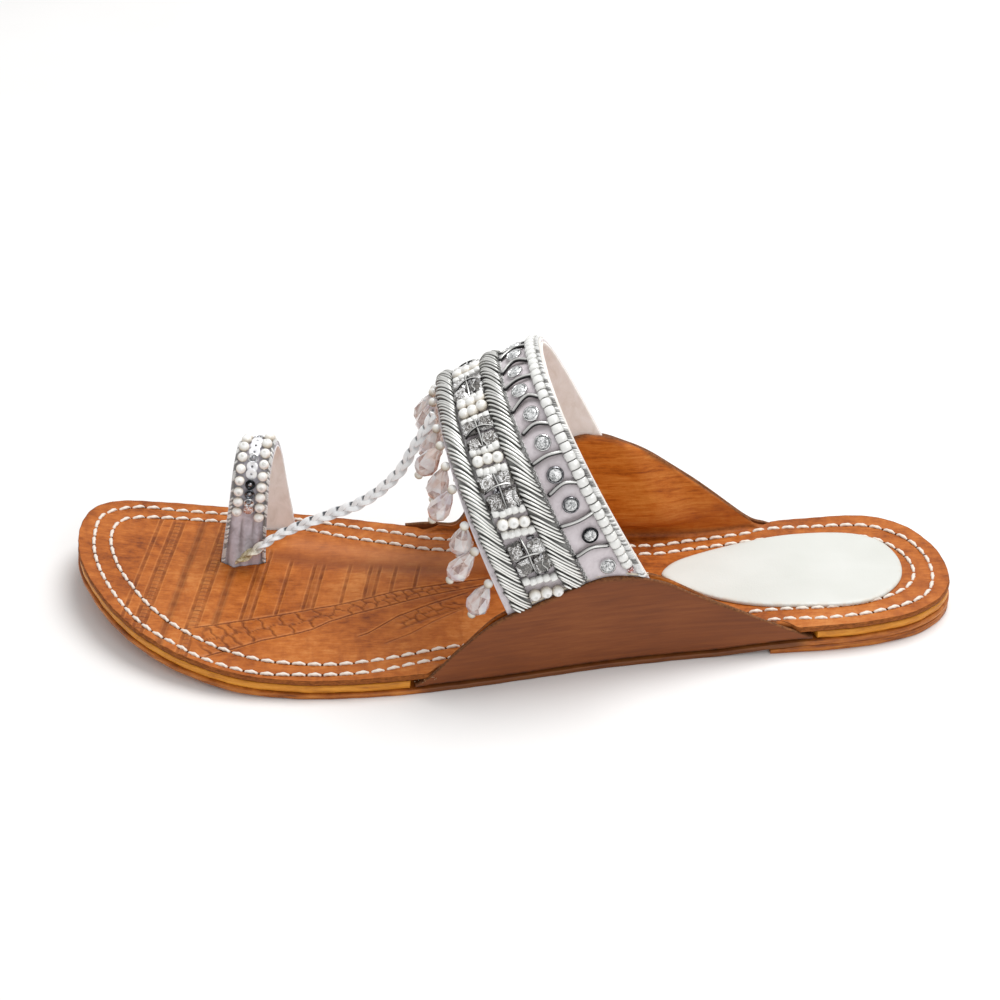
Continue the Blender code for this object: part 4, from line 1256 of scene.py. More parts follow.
def margin(side, x, edge, outward):
    """The top leather's face from its fold line out to its cut edge, and its underside there."""
    upright = fold_share(x)[:, None]
    k = np.arange(FOLD_ROWS + WALL_ROWS + 1)
    fold = np.minimum(FOLD_START, FOLD_SHARE * (edge_y(LATERAL, x) - edge_y(MEDIAL, x)) + 1.0)
    notch = FACE_INSET + PLY + EAR_ROOM
    inset = between(FOOTBED_INSET, notch, smooth(ear_reach(x), *BED_NOTCH_RAMP))
    inset = inset + wander(run_of(edge), 0.35, (41.0, 0.5), (13.0, 2.0), (5.0, 1.0))
    out = between(fold[:, None], inset[:, None], k / k[-1])
    flat = edge[:, None] - outward[:, None] * out[..., None]
    flat = np.concatenate([flat, footbed_top(flat[..., :1])], axis=-1)
    top = footbed_top(x)[:, None]
    turn = np.pi / 2 * np.minimum(k / FOLD_ROWS, 1.0)
    crest = ply_crest(side, x) + 0.25 * np.sin(x * 0.37 + side) * np.sin(x * 0.11)
    height = np.where(
        k <= FOLD_ROWS, top + FOLD_RADIUS * (1 - np.cos(turn)),
        between(top + FOLD_RADIUS, crest[:, None], np.maximum(k - FOLD_ROWS, 0) / WALL_ROWS),
    )
    wide_side, wide_x = side[:, None] + 0 * height, x[:, None] + 0 * height
    rounded = np.where(k <= FOLD_ROWS, FOLD_RADIUS * (1 - np.sin(turn)), 0.0)
    depth = inner_face(wide_side, wide_x, height) + rounded + FOLD_ROOM * upright * (1 - upright)
    depth = depth + 0.15 * (1 + np.sin(wide_x * 0.13 + height * 0.2)) * smooth(height - top, 2.0, 8.0)
    standing = np.stack([wide_x, wall_y(wide_side, wide_x, height, depth), height], axis=-1)
    points = between(flat, standing, upright[..., None])
    thickness = between(FOOTBED, between(FOOTBED, PLY, np.minimum(1.0, k / FOLD_ROWS)), upright)
    sideways = np.stack([0 * side, side, 0 * side], axis=1)
    way = unit(between(np.column_stack([outward, 0 * side]), sideways, upright))[:, None]
    along = np.roll(points, -1, axis=1) - np.roll(points, 1, axis=1)
    along[:, 0] = points[:, 1] - points[:, 0]
    along[:, -1] = points[:, -1] - points[:, -2]
    across = np.where(upright > 0, (along * way).sum(axis=-1), 1.0)[..., None]
    rise = np.where(upright > 0, along[..., 2], 0.0)[..., None]
    back = way * rise - np.array([0.0, 0.0, 1.0]) * across
    under = points + back / np.linalg.norm(back, axis=-1, keepdims=True) * thickness[..., None]
    under[:, 0] = points[:, 0]
    under[:, 0, 2] = footbed_under(points[:, 0, 0])
    return points, under


def slit(name, middle, across, out, width, bulge):
    """A cutter for the slit under one foot of the toe ring, which bulges where the foot is folded."""
    along = unit([across[0], across[1], 0.0]) * (width / 2 + SLIT_ROOM)
    through = unit([out[0], out[1], 0.0])
    near, far = through * (SLIT_ROOM - RING_CROWN / 2), through * -(RING + RING_CROWN + SLIT_ROOM)
    fold = unit(along) * -width * FOOT_FOLD
    corners = [middle + a + b for a, b in (
        (along, near), (fold, near + through * bulge), (-along, near), (-along, far), (along, far),
    )]
    cut = Cut()
    points = [corner + [0.0, 0.0, z] for z in (-SLIT_REACH, SLIT_REACH) for corner in corners]
    walls = [(i, (i + 1) % 5, 5 + (i + 1) % 5, 5 + i) for i in range(5)]
    cut.add(points, [(0, 1, 2, 3, 4), (9, 8, 7, 6, 5), *walls])
    return cut.piece(name)


def ring_frames(rows):
    """Middle, way across to the heel, way out and width of the toe ring along its route."""
    route = spaced(curve(RING_ROUTE), rows)
    middle = route[:, :3]
    along = unit(np.gradient(middle, axis=0))
    out = np.stack([0 * along[:, 0], along[:, 2], -along[:, 1]], axis=1)
    out = unit(out - along * (out * along).sum(axis=1, keepdims=True))
    return middle, unit(np.cross(along, out)), out, route[:, 3]


def top_leather():
    """The tooled top leather, its margin turned up inside the ears and slit for the toe ring."""
    rear, front = np.linspace(HEEL_ROUND, 20.0, 98), np.linspace(20.4, TOE_ROUND, 176)
    stations = rungs_along(26, 80, rear, front)
    count = len(stations)
    side, x, edge, outward = sole_round(stations)
    top, under = margin(side, x, edge, outward)
    inner = (len(x) - np.arange(count)) % len(x)

    def span(face, columns, level):
        share = np.linspace(0.0, 1.0, columns + 1)[None, 1:-1, None]
        middle = between(face[:count, :1], face[inner][:, :1], share)
        middle[..., 2] = level(middle[..., 0])
        return np.concatenate([face[:count, ::-1], middle, face[inner]], axis=1)

    upper = span(top, BED_COLUMNS, footbed_top)
    lower = span(under, UNDER_COLUMNS, footbed_under)
    flat = np.maximum(1 - smooth(upper[..., 2] - footbed_top(upper[..., 0]), 0.02, 0.5), 0.0)
    depth = tooling(upper[..., 0].ravel(), upper[..., 1].ravel())[0].reshape(flat.shape)
    upper[..., 2] -= depth * flat
    cut = Cut()
    for column, step in ((0, 1), (-1, -1)):
        tip, under_tip = upper[:, column].copy(), lower[:, column].copy()
        inward = unit(upper[:, column + step] - tip) * EDGE_ROUND
        upper[:, column] += inward
        lower[:, column] += inward
        rounded = [tip + (under_tip - tip) * share for share in (0.25, 0.75)]
        cut.sheet(np.stack([upper[:, column], *rounded, lower[:, column]], axis=1))
    cut.sheet(upper)
    cut.sheet(lower)
    piece = cut.piece("footbed_leather", TOP_LEATHER, sharp=60)
    frames = ring_frames(30)
    cutters = []
    for name, end, bulge in (("slit_near", 0, FOOT_BULGE), ("slit_far", -1, 0.3)):
        cutters.append(slit(name, *(rows[end] for rows in frames), bulge))
        boolean = piece.modifiers.new(name, "BOOLEAN")
        boolean.operation, boolean.solver = "DIFFERENCE", "EXACT"
        boolean.object = cutters[-1]
    mesh = applied(piece)
    piece.modifiers.clear()
    piece.data = mesh
    discard(*cutters)
    points, normals = places_of(mesh)
    x, y, z = points.T
    above = z - footbed_top(x)
    facing = smooth(normals[:, 2], 0.3, 0.7) * smooth(above, -0.9, -0.6) * (1 - smooth(above, 0.3, 0.8))
    standing = smooth(above, 0.4, 2.0)
    crest = ply_crest(np.where(y > 0, LATERAL, MEDIAL), x)
    raw = smooth(z - crest, -0.45, -0.15) * standing
    raw = np.maximum(raw, (1 - facing) * (1 - standing) * 0.9)
    for name, value in tooling(x, y)[1].items():
        mark(mesh, name, value * facing)
    mark(mesh, "face", facing)
    for number, line in enumerate(CURVED_LINES):
        mark(mesh, f"curve_{number}", curved_offset(line, x, y))
    mark(mesh, "standing", standing)
    mark(mesh, "raw", raw)
    return settle(piece, "tan_leather", "footbed")


# ---------------------------------------------------------------- ears

EAR_ROWS, EAR_COLUMNS = 126, 16
RIM_ROUND = 0.3


def ear_cover(name, side, node):
    """An ear's outer ply: its foot, the fold at the sole's edge and its wall, with a raw top edge."""
    faces = [], []
    for x in np.linspace(0.0, 1.0, EAR_ROWS) * (EAR_FRONT - EAR_REAR) + EAR_REAR:
        base = float(midsole_under(x))
        foot = float(ply_foot(x))
        top = max(float(ear_top(side, x)), base + EAR_TIP)
        top += 0.2 * math.sin(x * 0.31) * math.sin(x * 0.083)
        flat = min(1.0, (top - base) / EAR_FULL)
        out = [(foot, 0.0), *EAR_FOLD, (0.0, 3.0)]
        back = [(foot, MIDSOLE), *EAR_FOLD_INSIDE, (PLY, MIDSOLE + 2.4)]
        for rows, profile, depth in ((faces[0], out, 0.0), (faces[1], back, PLY)):
            profile = curve(profile, steps=5)[:16]
            low = np.column_stack([profile[:, 0], base + profile[:, 1] * flat])
            rise = np.linspace(low[-1, 1], top, EAR_COLUMNS + 1)[1:]
            wave = 0.12 * (1 + np.sin(x * 0.17 + rise * 0.23)) * smooth(rise - base, 3.0, 8.0)
            column = np.concatenate([low, np.column_stack([depth + wave, rise])])
            rows.append([(x, float(wall_y(side, x, z, depth)), z) for depth, z in column])
    outer, inner = np.array(faces[0]), np.array(faces[1])
    rounded = [between(outer[:, -1], inner[:, -1], share) for share in (0.22, 0.78)]
    outer[:, -1, 2] -= RIM_ROUND
    inner[:, -1, 2] -= RIM_ROUND
    rim = [outer[:, -1], *rounded, inner[:, -1]]
    cut = Cut()
    cut.sheet(outer)
    cut.sheet(inner)
    cut.sheet(np.stack(rim, axis=1))
    cut.sheet(np.stack([outer[:, 0], inner[:, 0]], axis=1))
    for end in (0, -1):
        cut.sheet(np.stack([outer[end], inner[end]], axis=1))
        cut.cap([line[end] for line in rim])
    piece = cut.piece(name, EAR_HIDE, sharp=60)
    x, y, z = places_of(piece.data)[0].T
    crest = np.maximum(ear_top(side, x), midsole_under(x) + EAR_TIP)
    mark(piece.data, "raw", smooth(z - crest, -0.42, -0.12))
    # Where the finish paints shade along the ear's foot.
    mark(piece.data, "foot", 1 - smooth(z - midsole_under(x), 0.5, 1.6))
    return settle(piece, "ear_leather", node)


def ear_binding(name, side, low, high):
    """The cream edge of the band's backing that shows along an ear's top."""
    xs = np.linspace(low, high, 60)
    lines, radii = [], []
    for level, depth in ((0.5, PLY + 0.45), (0.75, PLY + 1.2)):
        z = ear_top(side, xs) + level + 0.12 * np.sin(xs * 0.9 + depth)
        y = wall_y(side, xs, z, depth + 0.1 * np.sin(xs * 0.7))
        lines.append(np.column_stack([xs, y, z]))
        taper = smooth(np.minimum(xs - low, high - xs), 0.0, 3.0)
        radii.append(0.12 + 0.34 * taper * (0.85 + 0.15 * np.sin(xs * 2.1)))
    return settle(wires(name, lines, radii, CREAM_EDGE), "satin")


FIBRES = 7  # on each ear


def loose_fibres():
    """Frayed fibres where the ears' front tips are cut."""
    dice = np.random.default_rng(5)
    lines = []
    share = np.linspace(0.0, 1.0, 6)[:, None]
    for side in [LATERAL] * FIBRES + [MEDIAL] * FIBRES:
        x = dice.uniform(24.0, 31.5)
        z = float(midsole_under(x)) + dice.uniform(0.6, 3.0)
        start = np.array([x, float(wall_y(side, x, z, 0.1)), z])
        way = [dice.uniform(0.2, 1.0), side * dice.uniform(0.1, 0.5), dice.uniform(-0.2, 0.9)]
        bend = np.array([dice.uniform(-0.5, 0.5), side * 0.2, dice.uniform(-0.8, 0.4)])
        reach = dice.uniform(0.5, 1.3)
        lines.append(start + np.array(way) * share * reach + bend * share**2 * reach * 0.7)
    return settle(wires("loose_fibres", lines, 0.06, FIBRE, 4), "ear_leather")


# ---------------------------------------------------------------- stitches

STITCH_SUNK = 0.12
ROW_GAP = 4.2  # least distance between the two rows of stitches
ROW_ROOM = 0.9  # between a row of stitches and an ear's fold


def poled(piece, radius):
    """Stores how high each point of a small body is, before it is sewn on in many places, for finishes
    that paint its top lighter and its sides in shade.
    """
    mark(piece.data, "pole", np.clip(places_of(piece.data)[0][:, 2] / radius, -1.0, 1.0))
    return piece


def stitch_body():
    """One stitch: two plies twisted together, arched and diving into its holes at both ends."""
    length, turns = STITCH_PITCH * 0.96, 1.1
    rows, sides = 11, 8
    grid = []
    for i in range(rows):
        share = i / (rows - 1)
        arch = math.sin(math.pi * share)
        twist = 2 * math.pi * turns * share
        x, z = (share - 0.5) * length, 0.75 * arch**0.5 - 0.45
        ring = []
        for k in range(sides):
            turn = 2 * math.pi * k / sides
            lobe = 0.48 * (1 + 0.16 * math.cos(2 * (turn - twist))) * (0.5 + 0.5 * arch**0.5)
            ring.append((x, lobe * math.cos(turn) * 1.1, z + lobe * math.sin(turn)))
        grid.append(ring)
    cut = Cut()
    cut.sheet(grid, round_columns=True)
    cut.cap(grid[0])
    cut.cap(grid[-1])
    return poled(cut.piece("stitch_body", STITCH_THREAD), 0.6)


def hole_body():
    """The hole that a needle leaves, as a dark low cone: its darkness is painted shade."""
    cut = Cut()
    sides = 8
    turns = [2 * math.pi * k / sides for k in range(sides)]
    ring = [(0.42 * math.cos(turn), 0.52 * math.sin(turn), 0.0) for turn in turns]
    low = [(x * 0.8, y * 0.8, -0.4) for x, y, z in ring]
    cut.sheet([low, ring], round_columns=True)
    cut.add(ring + [(0.0, 0.0, 0.05)], [(k, (k + 1) % sides, sides) for k in range(sides)])
    cut.cap(low)
    return cut.piece("hole_body", HOLE)


def stitch_line(row):
    """A row of stitches laid on the leather, kept clear of the ears' folds."""
    line = curve(row, closed=True, steps=6)
    for number, (x, y) in enumerate(line):
        side = LATERAL if y > 0 else MEDIAL
        room = FACE_INSET + float(inner_face(side, x, 16.0)) + FOLD_RADIUS + ROW_ROOM
        limit = abs(float(edge_y(side, x))) - room * float(fold_share(x))
        if abs(y) > limit and abs(x) < 100:
            line[number, 1] = side * limit
    return line


def apart(inner, outer):
    """The inner row moved inwards where it comes too near the outer one."""
    for number, (x, y) in enumerate(inner):
        side = LATERAL if y > 0 else MEDIAL
        near = outer[outer[:, 1] * side > 0]
        partner = near[np.argmin(np.abs(near[:, 0] - x))]
        if abs(x) < 95 and abs(partner[1]) - abs(y) < ROW_GAP:
            inner[number, 1] = side * (abs(partner[1]) - ROW_GAP)
    return inner


def half_step(points):
    """The same closed line, started half a stitch later, so that holes fall between stitches."""
    loop = closed_up(points)
    run = run_of(loop)
    return at_run(loop, (run[:-1] + STITCH_PITCH / 2) % run[-1])


def stitch_rows():
    body, hole = stitch_body(), hole_body()
    outer = stitch_line(OUTER_ROW)
    inner = apart(stitch_line(INNER_ROW), outer)
    for name, line in (("stitches_outer", outer), ("stitches_inner", inner)):
        count = len(line)
        points = np.column_stack([line, footbed_top(line[:, 0]) - STITCH_SUNK])
        edges = [(i, (i + 1) % count) for i in range(count)]
        up = np.tile([0.0, 0.0, 1.0], (count, 1))
        marks = {"out": up, "size": np.ones((count, 3))}
        for part, route, shape, finish, slot in (
            ("", points, body, STITCH_THREAD, "white_leather"),
            ("_holes", half_step(points), hole, HOLE, "edge_leather"),
        ):
            given = {"Pitch": STITCH_PITCH * MM, "Stitch": shape, "Finish": finish}
            settle(SEW_ROW.run(name + part, route, edges, marks, **given), slot)
    discard(body, hole)


# ---------------------------------------------------------------- heel cover

PAD_LIFT = 0.12
PAD_MIDDLE = (-80.0, 4.0)
PAD_PROFILE = (  # share of the way out from its middle, and share of its thickness
    (1.0, 0.0), (1.004, 0.3), (1.0, 0.72), (0.985, 0.95), (0.955, 1.06), (0.9, 1.1), (0.8, 1.12),
    (0.66, 1.13), (0.5, 1.13), (0.32, 1.13), (0.14, 1.13), (0.0, 1.13),
)


def heel_cover():
    """The thin white cover glued on the heel."""
    edge = curve(PAD_EDGE, closed=True, steps=8)

    def ring(share, rise):
        flat = PAD_MIDDLE + (edge - PAD_MIDDLE) * share
        ripple = 0.05 * np.sin(flat[:, 0] * 0.35) * np.sin(flat[:, 1] * 0.5) * (rise > 1)
        return np.column_stack([flat, footbed_top(flat[:, 0]) + PAD_LIFT + PAD * rise + ripple])

    cut = Cut()
    cut.sheet(np.stack([ring(share, rise) for share, rise in PAD_PROFILE]), round_columns=True)
    cut.sheet(np.stack([ring(1.0, 0.0), ring(0.0, 0.0)]), round_columns=True)
    piece = cut.piece("heel_cover", WHITE_LEATHER)
    x, y, z = places_of(piece.data)[0].T
    mark(piece.data, "rub", smooth(-to_line(x, y, closed_up(edge)), -1.4, 0.0))
    return settle(piece, "white_leather", "heel_pad")


# ---------------------------------------------------------------- band

ACROSS_ROWS, ALONG_ROWS = 45, 361


def band_section(share, rows):
    """The band's outer face at a share of its width, from its outer end over the foot inwards."""
    edge = {
        key: between(np.array(BAND_BACK[key]), np.array(BAND_FRONT[key]), share) for key in BAND_BACK
    }
    crown_y, crown_z = edge["crown"]
    halves = []
    for side, spring in zip((LATERAL, MEDIAL), edge["spring"]):
        z = np.linspace(edge["end"], spring, 17)
        x = plane_x(edge, side * 30.0, z)
        x = plane_x(edge, wall_y(side, x, z, PLY + GAP), z)
        wall = np.stack([x, wall_y(side, x, z, PLY + GAP), z], axis=1)
        turn = np.pi / 2 * np.arange(1, 49) / 48
        z = between(spring, crown_z, np.sin(turn) ** (2 / SQUARE))
        y = between(crown_y, wall[-1, 1], np.cos(turn) ** (2 / SQUARE))
        y += side * EAR_LEAN[side] * (z - spring) * np.cos(turn) ** 2
        halves.append(np.concatenate([wall, np.stack([plane_x(edge, y, z), y, z], axis=1)]))
    return spaced(np.concatenate([halves[0], halves[1][-2::-1]]), rows)


# Rows run from the band's front edge to its back edge, columns over the foot from the outer side.
BAND_FACE = np.stack([
    band_section(1 - j / (ACROSS_ROWS - 1), ALONG_ROWS) for j in range(ACROSS_ROWS)
])
BAND_ALONG = unit(np.gradient(BAND_FACE, axis=1))
BAND_OUT = -unit(np.cross(np.gradient(BAND_FACE, axis=1), np.gradient(BAND_FACE, axis=0)))
BAND_LENGTH, BAND_WIDTH = 172.6, 36.0
BAND_TREE = tree_of(BAND_FACE.reshape(-1, 3))
EAR_CLEAR = 0.5


def on_band(share, along, lift):
    """A point over the band, at a share of its width from the front edge and of its length."""
    share, along, lift = np.broadcast_arrays(share, along, lift)
    out = sample(BAND_OUT, share, along) * np.asarray(lift, float)[..., None]
    return sample(BAND_FACE, share, along) + out


def band_frame(share, along, lift):
    """A point over the band, the way out of it there and the way over the foot."""
    out = sample(BAND_OUT, share, along)
    return on_band(share, along, lift), out, sample(BAND_ALONG, share, along)


def clear_of_ears(points, room=EAR_CLEAR):
    """Whether each point is above the ear on its side."""
    side = np.where(points[..., 1] > 3.0, LATERAL, MEDIAL)
    return points[..., 2] > ear_top(side, points[..., 0]) + room


def above_ears(line):
    """The longest part of a line that is clear of the ears."""
    kept = np.flatnonzero(clear_of_ears(line))
    return line[kept[0]: kept[-1] + 1] if len(kept) > 3 else None


def crested(piece, lean=0.0):
    """Stores how far each point of a wire faces out of the band and upwards, for its finish to paint shade
    on the wire's sides and a highlight on its crest.
    """
    points, normals = places_of(piece.data)
    out = BAND_OUT.reshape(-1, 3)[nearest_in(BAND_TREE, points)]
    mark(piece.data, "crest", (normals * unit(out + [0.0, 0.0, lean])).sum(axis=1))
    return piece


CLOTH_ROUND = 0.22


def cloth_shell(name, face, out, top, low, finish):
    """A closed sheet between two depths of a curved face, with rounded edges."""
    upper, lower = face + out * top[..., None], face + out * low
    cut = Cut()
    cut.sheet(upper)
    cut.sheet(lower)
    for high, low in ((upper, lower), (upper.swapaxes(0, 1), lower.swapaxes(0, 1))):
        for end, before in ((0, 1), (-1, -2)):
            push = unit(high[end] - high[before]) * CLOTH_ROUND
            rounded = [between(high[end], low[end], share) + push for share in (0.2, 0.8)]
            cut.sheet(np.stack([high[end], *rounded, low[end]], axis=1))
    return cut.piece(name, finish, sharp=70)


def nearest_marks(piece, face, **values):
    """Stores on each point the values that the nearest point of a face has."""
    found = nearest_in(tree_of(face.reshape(-1, 3)), places_of(piece.data)[0])
    for name, rows in values.items():
        mark(piece.data, name, np.broadcast_to(rows, face.shape[:2]).reshape(-1)[found])


ROPE_PITCH, ROPE_THICK, ROPE_SLANT, ROPE_HEIGHT = 1.46, 0.42, 3.4, 1.55
# The edges of each rope, and how far it closes in on the front edge over the foot.
ROPES = ((0.042, 0.178, 0.024), (0.435, 0.592, 0.0))
SEED_SHARE, SEED_PITCH = 0.918, 2.36
# Along the band in hundredths: rows of seed beads, or of three pearls, on the panel.
BLOCKS = (
    ((10.4, 3), (13.2, 5)), ((22.4, 5), (24.3, 3), (26.2, 5)), ((33.1, 5), (34.8, 3), (36.5, 5)),
    ((42.3, 5), (44.2, 3), (46.1, 3), (47.4, 4)), ((54.9, 5), (56.6, 3), (58.3, 5)),
    ((65.2, 5), (67.0, 3), (68.8, 5)), ((75.6, 5), (77.4, 3), (79.2, 5)), ((86.0, 5), (87.8, 3)),
)
CLUSTERS = (17.8, 29.7, 39.4, 51.0, 61.8, 72.2, 82.6)
PANEL = (0.185, 0.425)
# Share of the width, place along in hundredths, and which cup.
STUDS = (
    (0.79, 13.2, 0), (0.78, 19.4, 2), (0.755, 25.0, 1), (0.745, 30.0, 1), (0.76, 35.0, 0),
    (0.765, 39.5, 0), (0.735, 44.0, 0), (0.74, 48.5, 0), (0.76, 53.6, 0), (0.75, 58.4, 0),
    (0.745, 63.2, 0), (0.75, 68.0, 0), (0.745, 72.8, 0), (0.75, 77.6, 0), (0.76, 82.4, 0),
)
# Three points of each arched wire: share of the width and place along in hundredths.
FIELD_WIRES = (
    ((0.605, 15.8), (0.75, 17.2), (0.865, 16.8)), ((0.605, 21.7), (0.75, 22.2), (0.885, 23.0)),
    ((0.63, 27.1), (0.78, 28.5), (0.9, 28.0)), ((0.61, 32.2), (0.75, 33.0), (0.9, 33.0)),
    ((0.63, 37.0), (0.76, 37.9), (0.89, 37.3)), ((0.605, 41.0), (0.78, 42.6), (0.9, 41.5)),
    ((0.605, 46.0), (0.74, 46.5), (0.88, 46.3)), ((0.61, 50.2), (0.75, 51.6), (0.88, 50.3)),
    ((0.61, 55.3), (0.75, 56.6), (0.89, 55.6)), ((0.61, 60.3), (0.75, 61.2), (0.89, 60.6)),
    ((0.61, 65.2), (0.75, 66.1), (0.89, 65.4)), ((0.61, 70.0), (0.75, 71.0), (0.89, 70.3)),
    ((0.61, 74.8), (0.75, 75.8), (0.89, 75.2)), ((0.61, 79.6), (0.75, 80.6), (0.89, 80.0)),
    ((0.61, 84.3), (0.75, 85.2), (0.89, 84.8)),
)


SATIN_DEPTH, LINING_DEPTH = 1.05, 1.12


def band_cloth():
    """The satin face, puckered between its stitched wires, and the lining under it."""
    share = np.linspace(0.0, 1.0, 57)[:, None]
    along = np.linspace(0.0, 1.0, 271)[None, :]
    percent = along * 100
    field = smooth(share, 0.6, 0.63) * (1 - smooth(share, 0.87, 0.9))
    pull = np.zeros(np.broadcast(share, along).shape)
    for wire in FIELD_WIRES:
        pull = np.maximum(pull, pressed(percent - line_y(wire, share), 0.75))
    creases = 0.06 * np.sin(percent * 2.3 + share * 9) * np.sin(share * 31 + percent * 0.4)
    lift = field * (0.35 - 0.5 * pull) + creases * field - 0.05
    grid = np.broadcast_arrays(share, along)
    face, out = sample(BAND_FACE, *grid), sample(BAND_OUT, *grid)
    satin_piece = cloth_shell("band_satin", face, out, lift, -SATIN_DEPTH, BAND_SATIN)
    marks = {"along": along * BAND_LENGTH, "across": share * BAND_WIDTH}
    # The puckers beside the wires are painted in shade.
    nearest_marks(satin_piece, face, **marks, soil=pull * field * 0.7)
    settle(satin_piece, "satin", "instep_band")
    rough = 0.08 * np.sin(percent * 0.9 + share * 5) * np.sin(share * 11)
    top = -LINING_DEPTH + 0 * lift
    lining = cloth_shell("band_lining", face, out, top, -BAND - rough[..., None], LINING)
    settle(lining, "satin")


def rope(number, first, last, closing):
    """A rope of purl wires laid slantwise over padding, in bundles of three to five. The padding is
    coloured dark as painted shade between the wires.
    """
    dice = np.random.default_rng(21 + number)
    middle, half = (first + last) / 2, (last - first) / 2
    u = np.linspace(-1.0, 1.0, 16)
    lines, radii = [], []
    place, in_bundle, bundle, wave = 0.0, 0, 4, 0.0
    while place < BAND_LENGTH:
        slant = ROPE_SLANT * (1 + dice.uniform(-0.04, 0.04) + wave)
        along = (place - slant * (u + 0.15 * u**2)) / BAND_LENGTH
        swell = math.sin(math.pi * (in_bundle + 0.5) / bundle)
        lift = (ROPE_HEIGHT + 0.62 * swell) * np.sqrt(1 - (0.97 * u) ** 2)
        spread = half * (0.93 + 0.14 * swell) * u * dice.uniform(0.93, 1.07)
        line = on_band(middle - closing * smooth(along, 0.12, 0.36) + spread, along, lift + 0.3)
        line = line[(along > 0.002) & (along < 0.998)]
        kept = above_ears(line) if len(line) > 4 else None
        if kept is not None and len(kept) > 4:
            lines.append(kept)
            taper = np.ones(len(kept))
            taper[[0, -1]] = 0.75
            radii.append(ROPE_THICK * taper * dice.uniform(0.94, 1.05))
        in_bundle += 1
        place += ROPE_PITCH * 0.96
        if in_bundle >= bundle:
            in_bundle, bundle, wave = 0, int(dice.integers(3, 6)), dice.uniform(-0.16, 0.16)
            place += ROPE_PITCH * dice.uniform(0.25, 0.6)
    settle(crested(wires(f"rope_{number}", lines, radii, PURL, 8)), "satin")
    away = half * 1.02 * np.cos(np.linspace(0.0, math.pi, 9))[:, None]
    dome = np.sqrt(np.clip(1 - (away / (half * 1.03)) ** 2, 0.0, 1.0)) * (ROPE_HEIGHT - 0.15)
    along = np.linspace(0.04, 0.94, 181)[None, :]
    share = middle + away - closing * smooth(along, 0.12, 0.36)
    upper, lower = on_band(share, along, dome + 0.02), on_band(share, along, -0.3)
    clear = clear_of_ears(upper[4], 0.2)
    loop = np.concatenate([upper[:, clear], lower[::-1, clear]])
    cut = Cut()
    cut.sheet(loop, round_rows=True)
    cut.cap(loop[:, 0])
    cut.cap(loop[:, -1])
    settle(cut.piece(f"rope_padding_{number}", SHADOW_PADDING), "satin")


ZIGZAG = (0.04, 0.95)  # where along the band the zigzag threads start and end


def zigzag(name, share, wide, step, thick, finish, lift, rows=1):
    """Silver thread sewn to and fro along the band."""
    count = int((ZIGZAG[1] - ZIGZAG[0]) * BAND_LENGTH / step)
    number = np.arange(count)
    along = between(*ZIGZAG, number / (count - 1))
    lines = []
    for row in range(rows):
        odd = (number + row) % 2
        line = on_band(share + np.where(odd == 0, wide / 2, -wide / 2), along, lift + 0.08 * odd)
        lines.append(line[clear_of_ears(line, 0.3)])
    settle(wires(name, lines, thick, finish, 4), "satin")


def circle(radius, height, sides, start=0.0):
    turns = [start + 2 * math.pi * k / sides for k in range(sides)]
    return [(radius * math.cos(turn), radius * math.sin(turn), height) for turn in turns]


BARREL = (  # place along the bead's hole and radius there, the hole's own wall last
    (-0.66, 0.3), (-0.76, 0.7), (-0.64, 0.93), (0.0, 1.0), (0.64, 0.93), (0.76, 0.7), (0.66, 0.3),
    (0.0, 0.25),
)


def barrel(name, finish, sides=10):
    """A glass seed bead: a short fat barrel with its hole along X, one millimetre in radius."""
    grid = [[(x, y, z) for y, z, x in circle(radius, x, sides)] for x, radius in BARREL]
    cut = Cut()
    cut.sheet(grid, round_rows=True, round_columns=True)
    return poled(cut.piece(name, finish, sharp=70), 1.0)


def faceted(piece, seed):
    """Stores a value of its own on every facet, which its finish paints as a highlight or shade on that
    facet.
    """
    values = np.random.default_rng(seed).uniform(0.0, 1.0, len(piece.data.polygons))
    piece.data.attributes.new("facet", "FLOAT", "FACE").data.foreach_set("value", values)
    return piece


def turned(name, finish, profile, sides, sharp, twist=False):
    """A closed round body from a profile of radius and height, from its underside over its top."""
    half = math.pi / sides if twist else 0.0
    grid = [circle(*level, sides, half * (odd % 2)) for odd, level in enumerate(profile)]
    cut = Cut()
    if twist:
        for low, high, odd in zip(grid[:-1], grid[1:], range(len(grid))):
            faces = []
            for k in range(sides):
                after = (k + 1) % sides
                if odd % 2 == 0:
                    faces += [(k, after, sides + k), (sides + k, sides + after, after)]
                else:
                    faces += [(k, after, sides + after), (sides + k, sides + after, k)]
            cut.add(low + high, faces)
    else:
        cut.sheet(grid, round_columns=True)
    for ring in (grid[0], grid[-1]):
        if math.hypot(ring[0][0], ring[0][1]) > 0.001:
            cut.cap(ring)
    return cut.piece(name, finish, sharp=sharp)


def ball(name, sides=12, rows=7):
    """A pearl, one millimetre in radius."""
    falls = [math.pi * i / rows for i in range(rows + 1)]
    profile = [(math.sin(fall), math.cos(fall)) for fall in falls]
    return poled(turned(name, PEARL, profile, sides, 80), 1.0)


def chip(name, finish):
    """A cut stone, one millimetre in half width: base, girdle, crown and table."""
    rows = []
    for half, corner, height in ((0.7, 0.45, 0.0), (1.0, 0.66, 0.45), (1.0, 0.66, 0.8), (0.62, 0.36, 1.3)):
        rows.append([
            (half, -corner, height), (half, corner, height),
            (corner, half, height), (-corner, half, height),
            (-half, corner, height), (-half, -corner, height),
            (-corner, -half, height), (corner, -half, height),
        ])
    cut = Cut()
    cut.sheet(rows, round_columns=True)
    cut.cap(rows[0])
    cut.cap(rows[-1])
    return cut.piece(name, finish, sharp=5)


def leaning(dice, out, over, most):
    """The way out, leaning a little by chance."""
    lean = over * dice.uniform(-most, most)
    return unit(out + lean + np.cross(over, out) * dice.uniform(-most, most))


RED_SIZE = 0.55


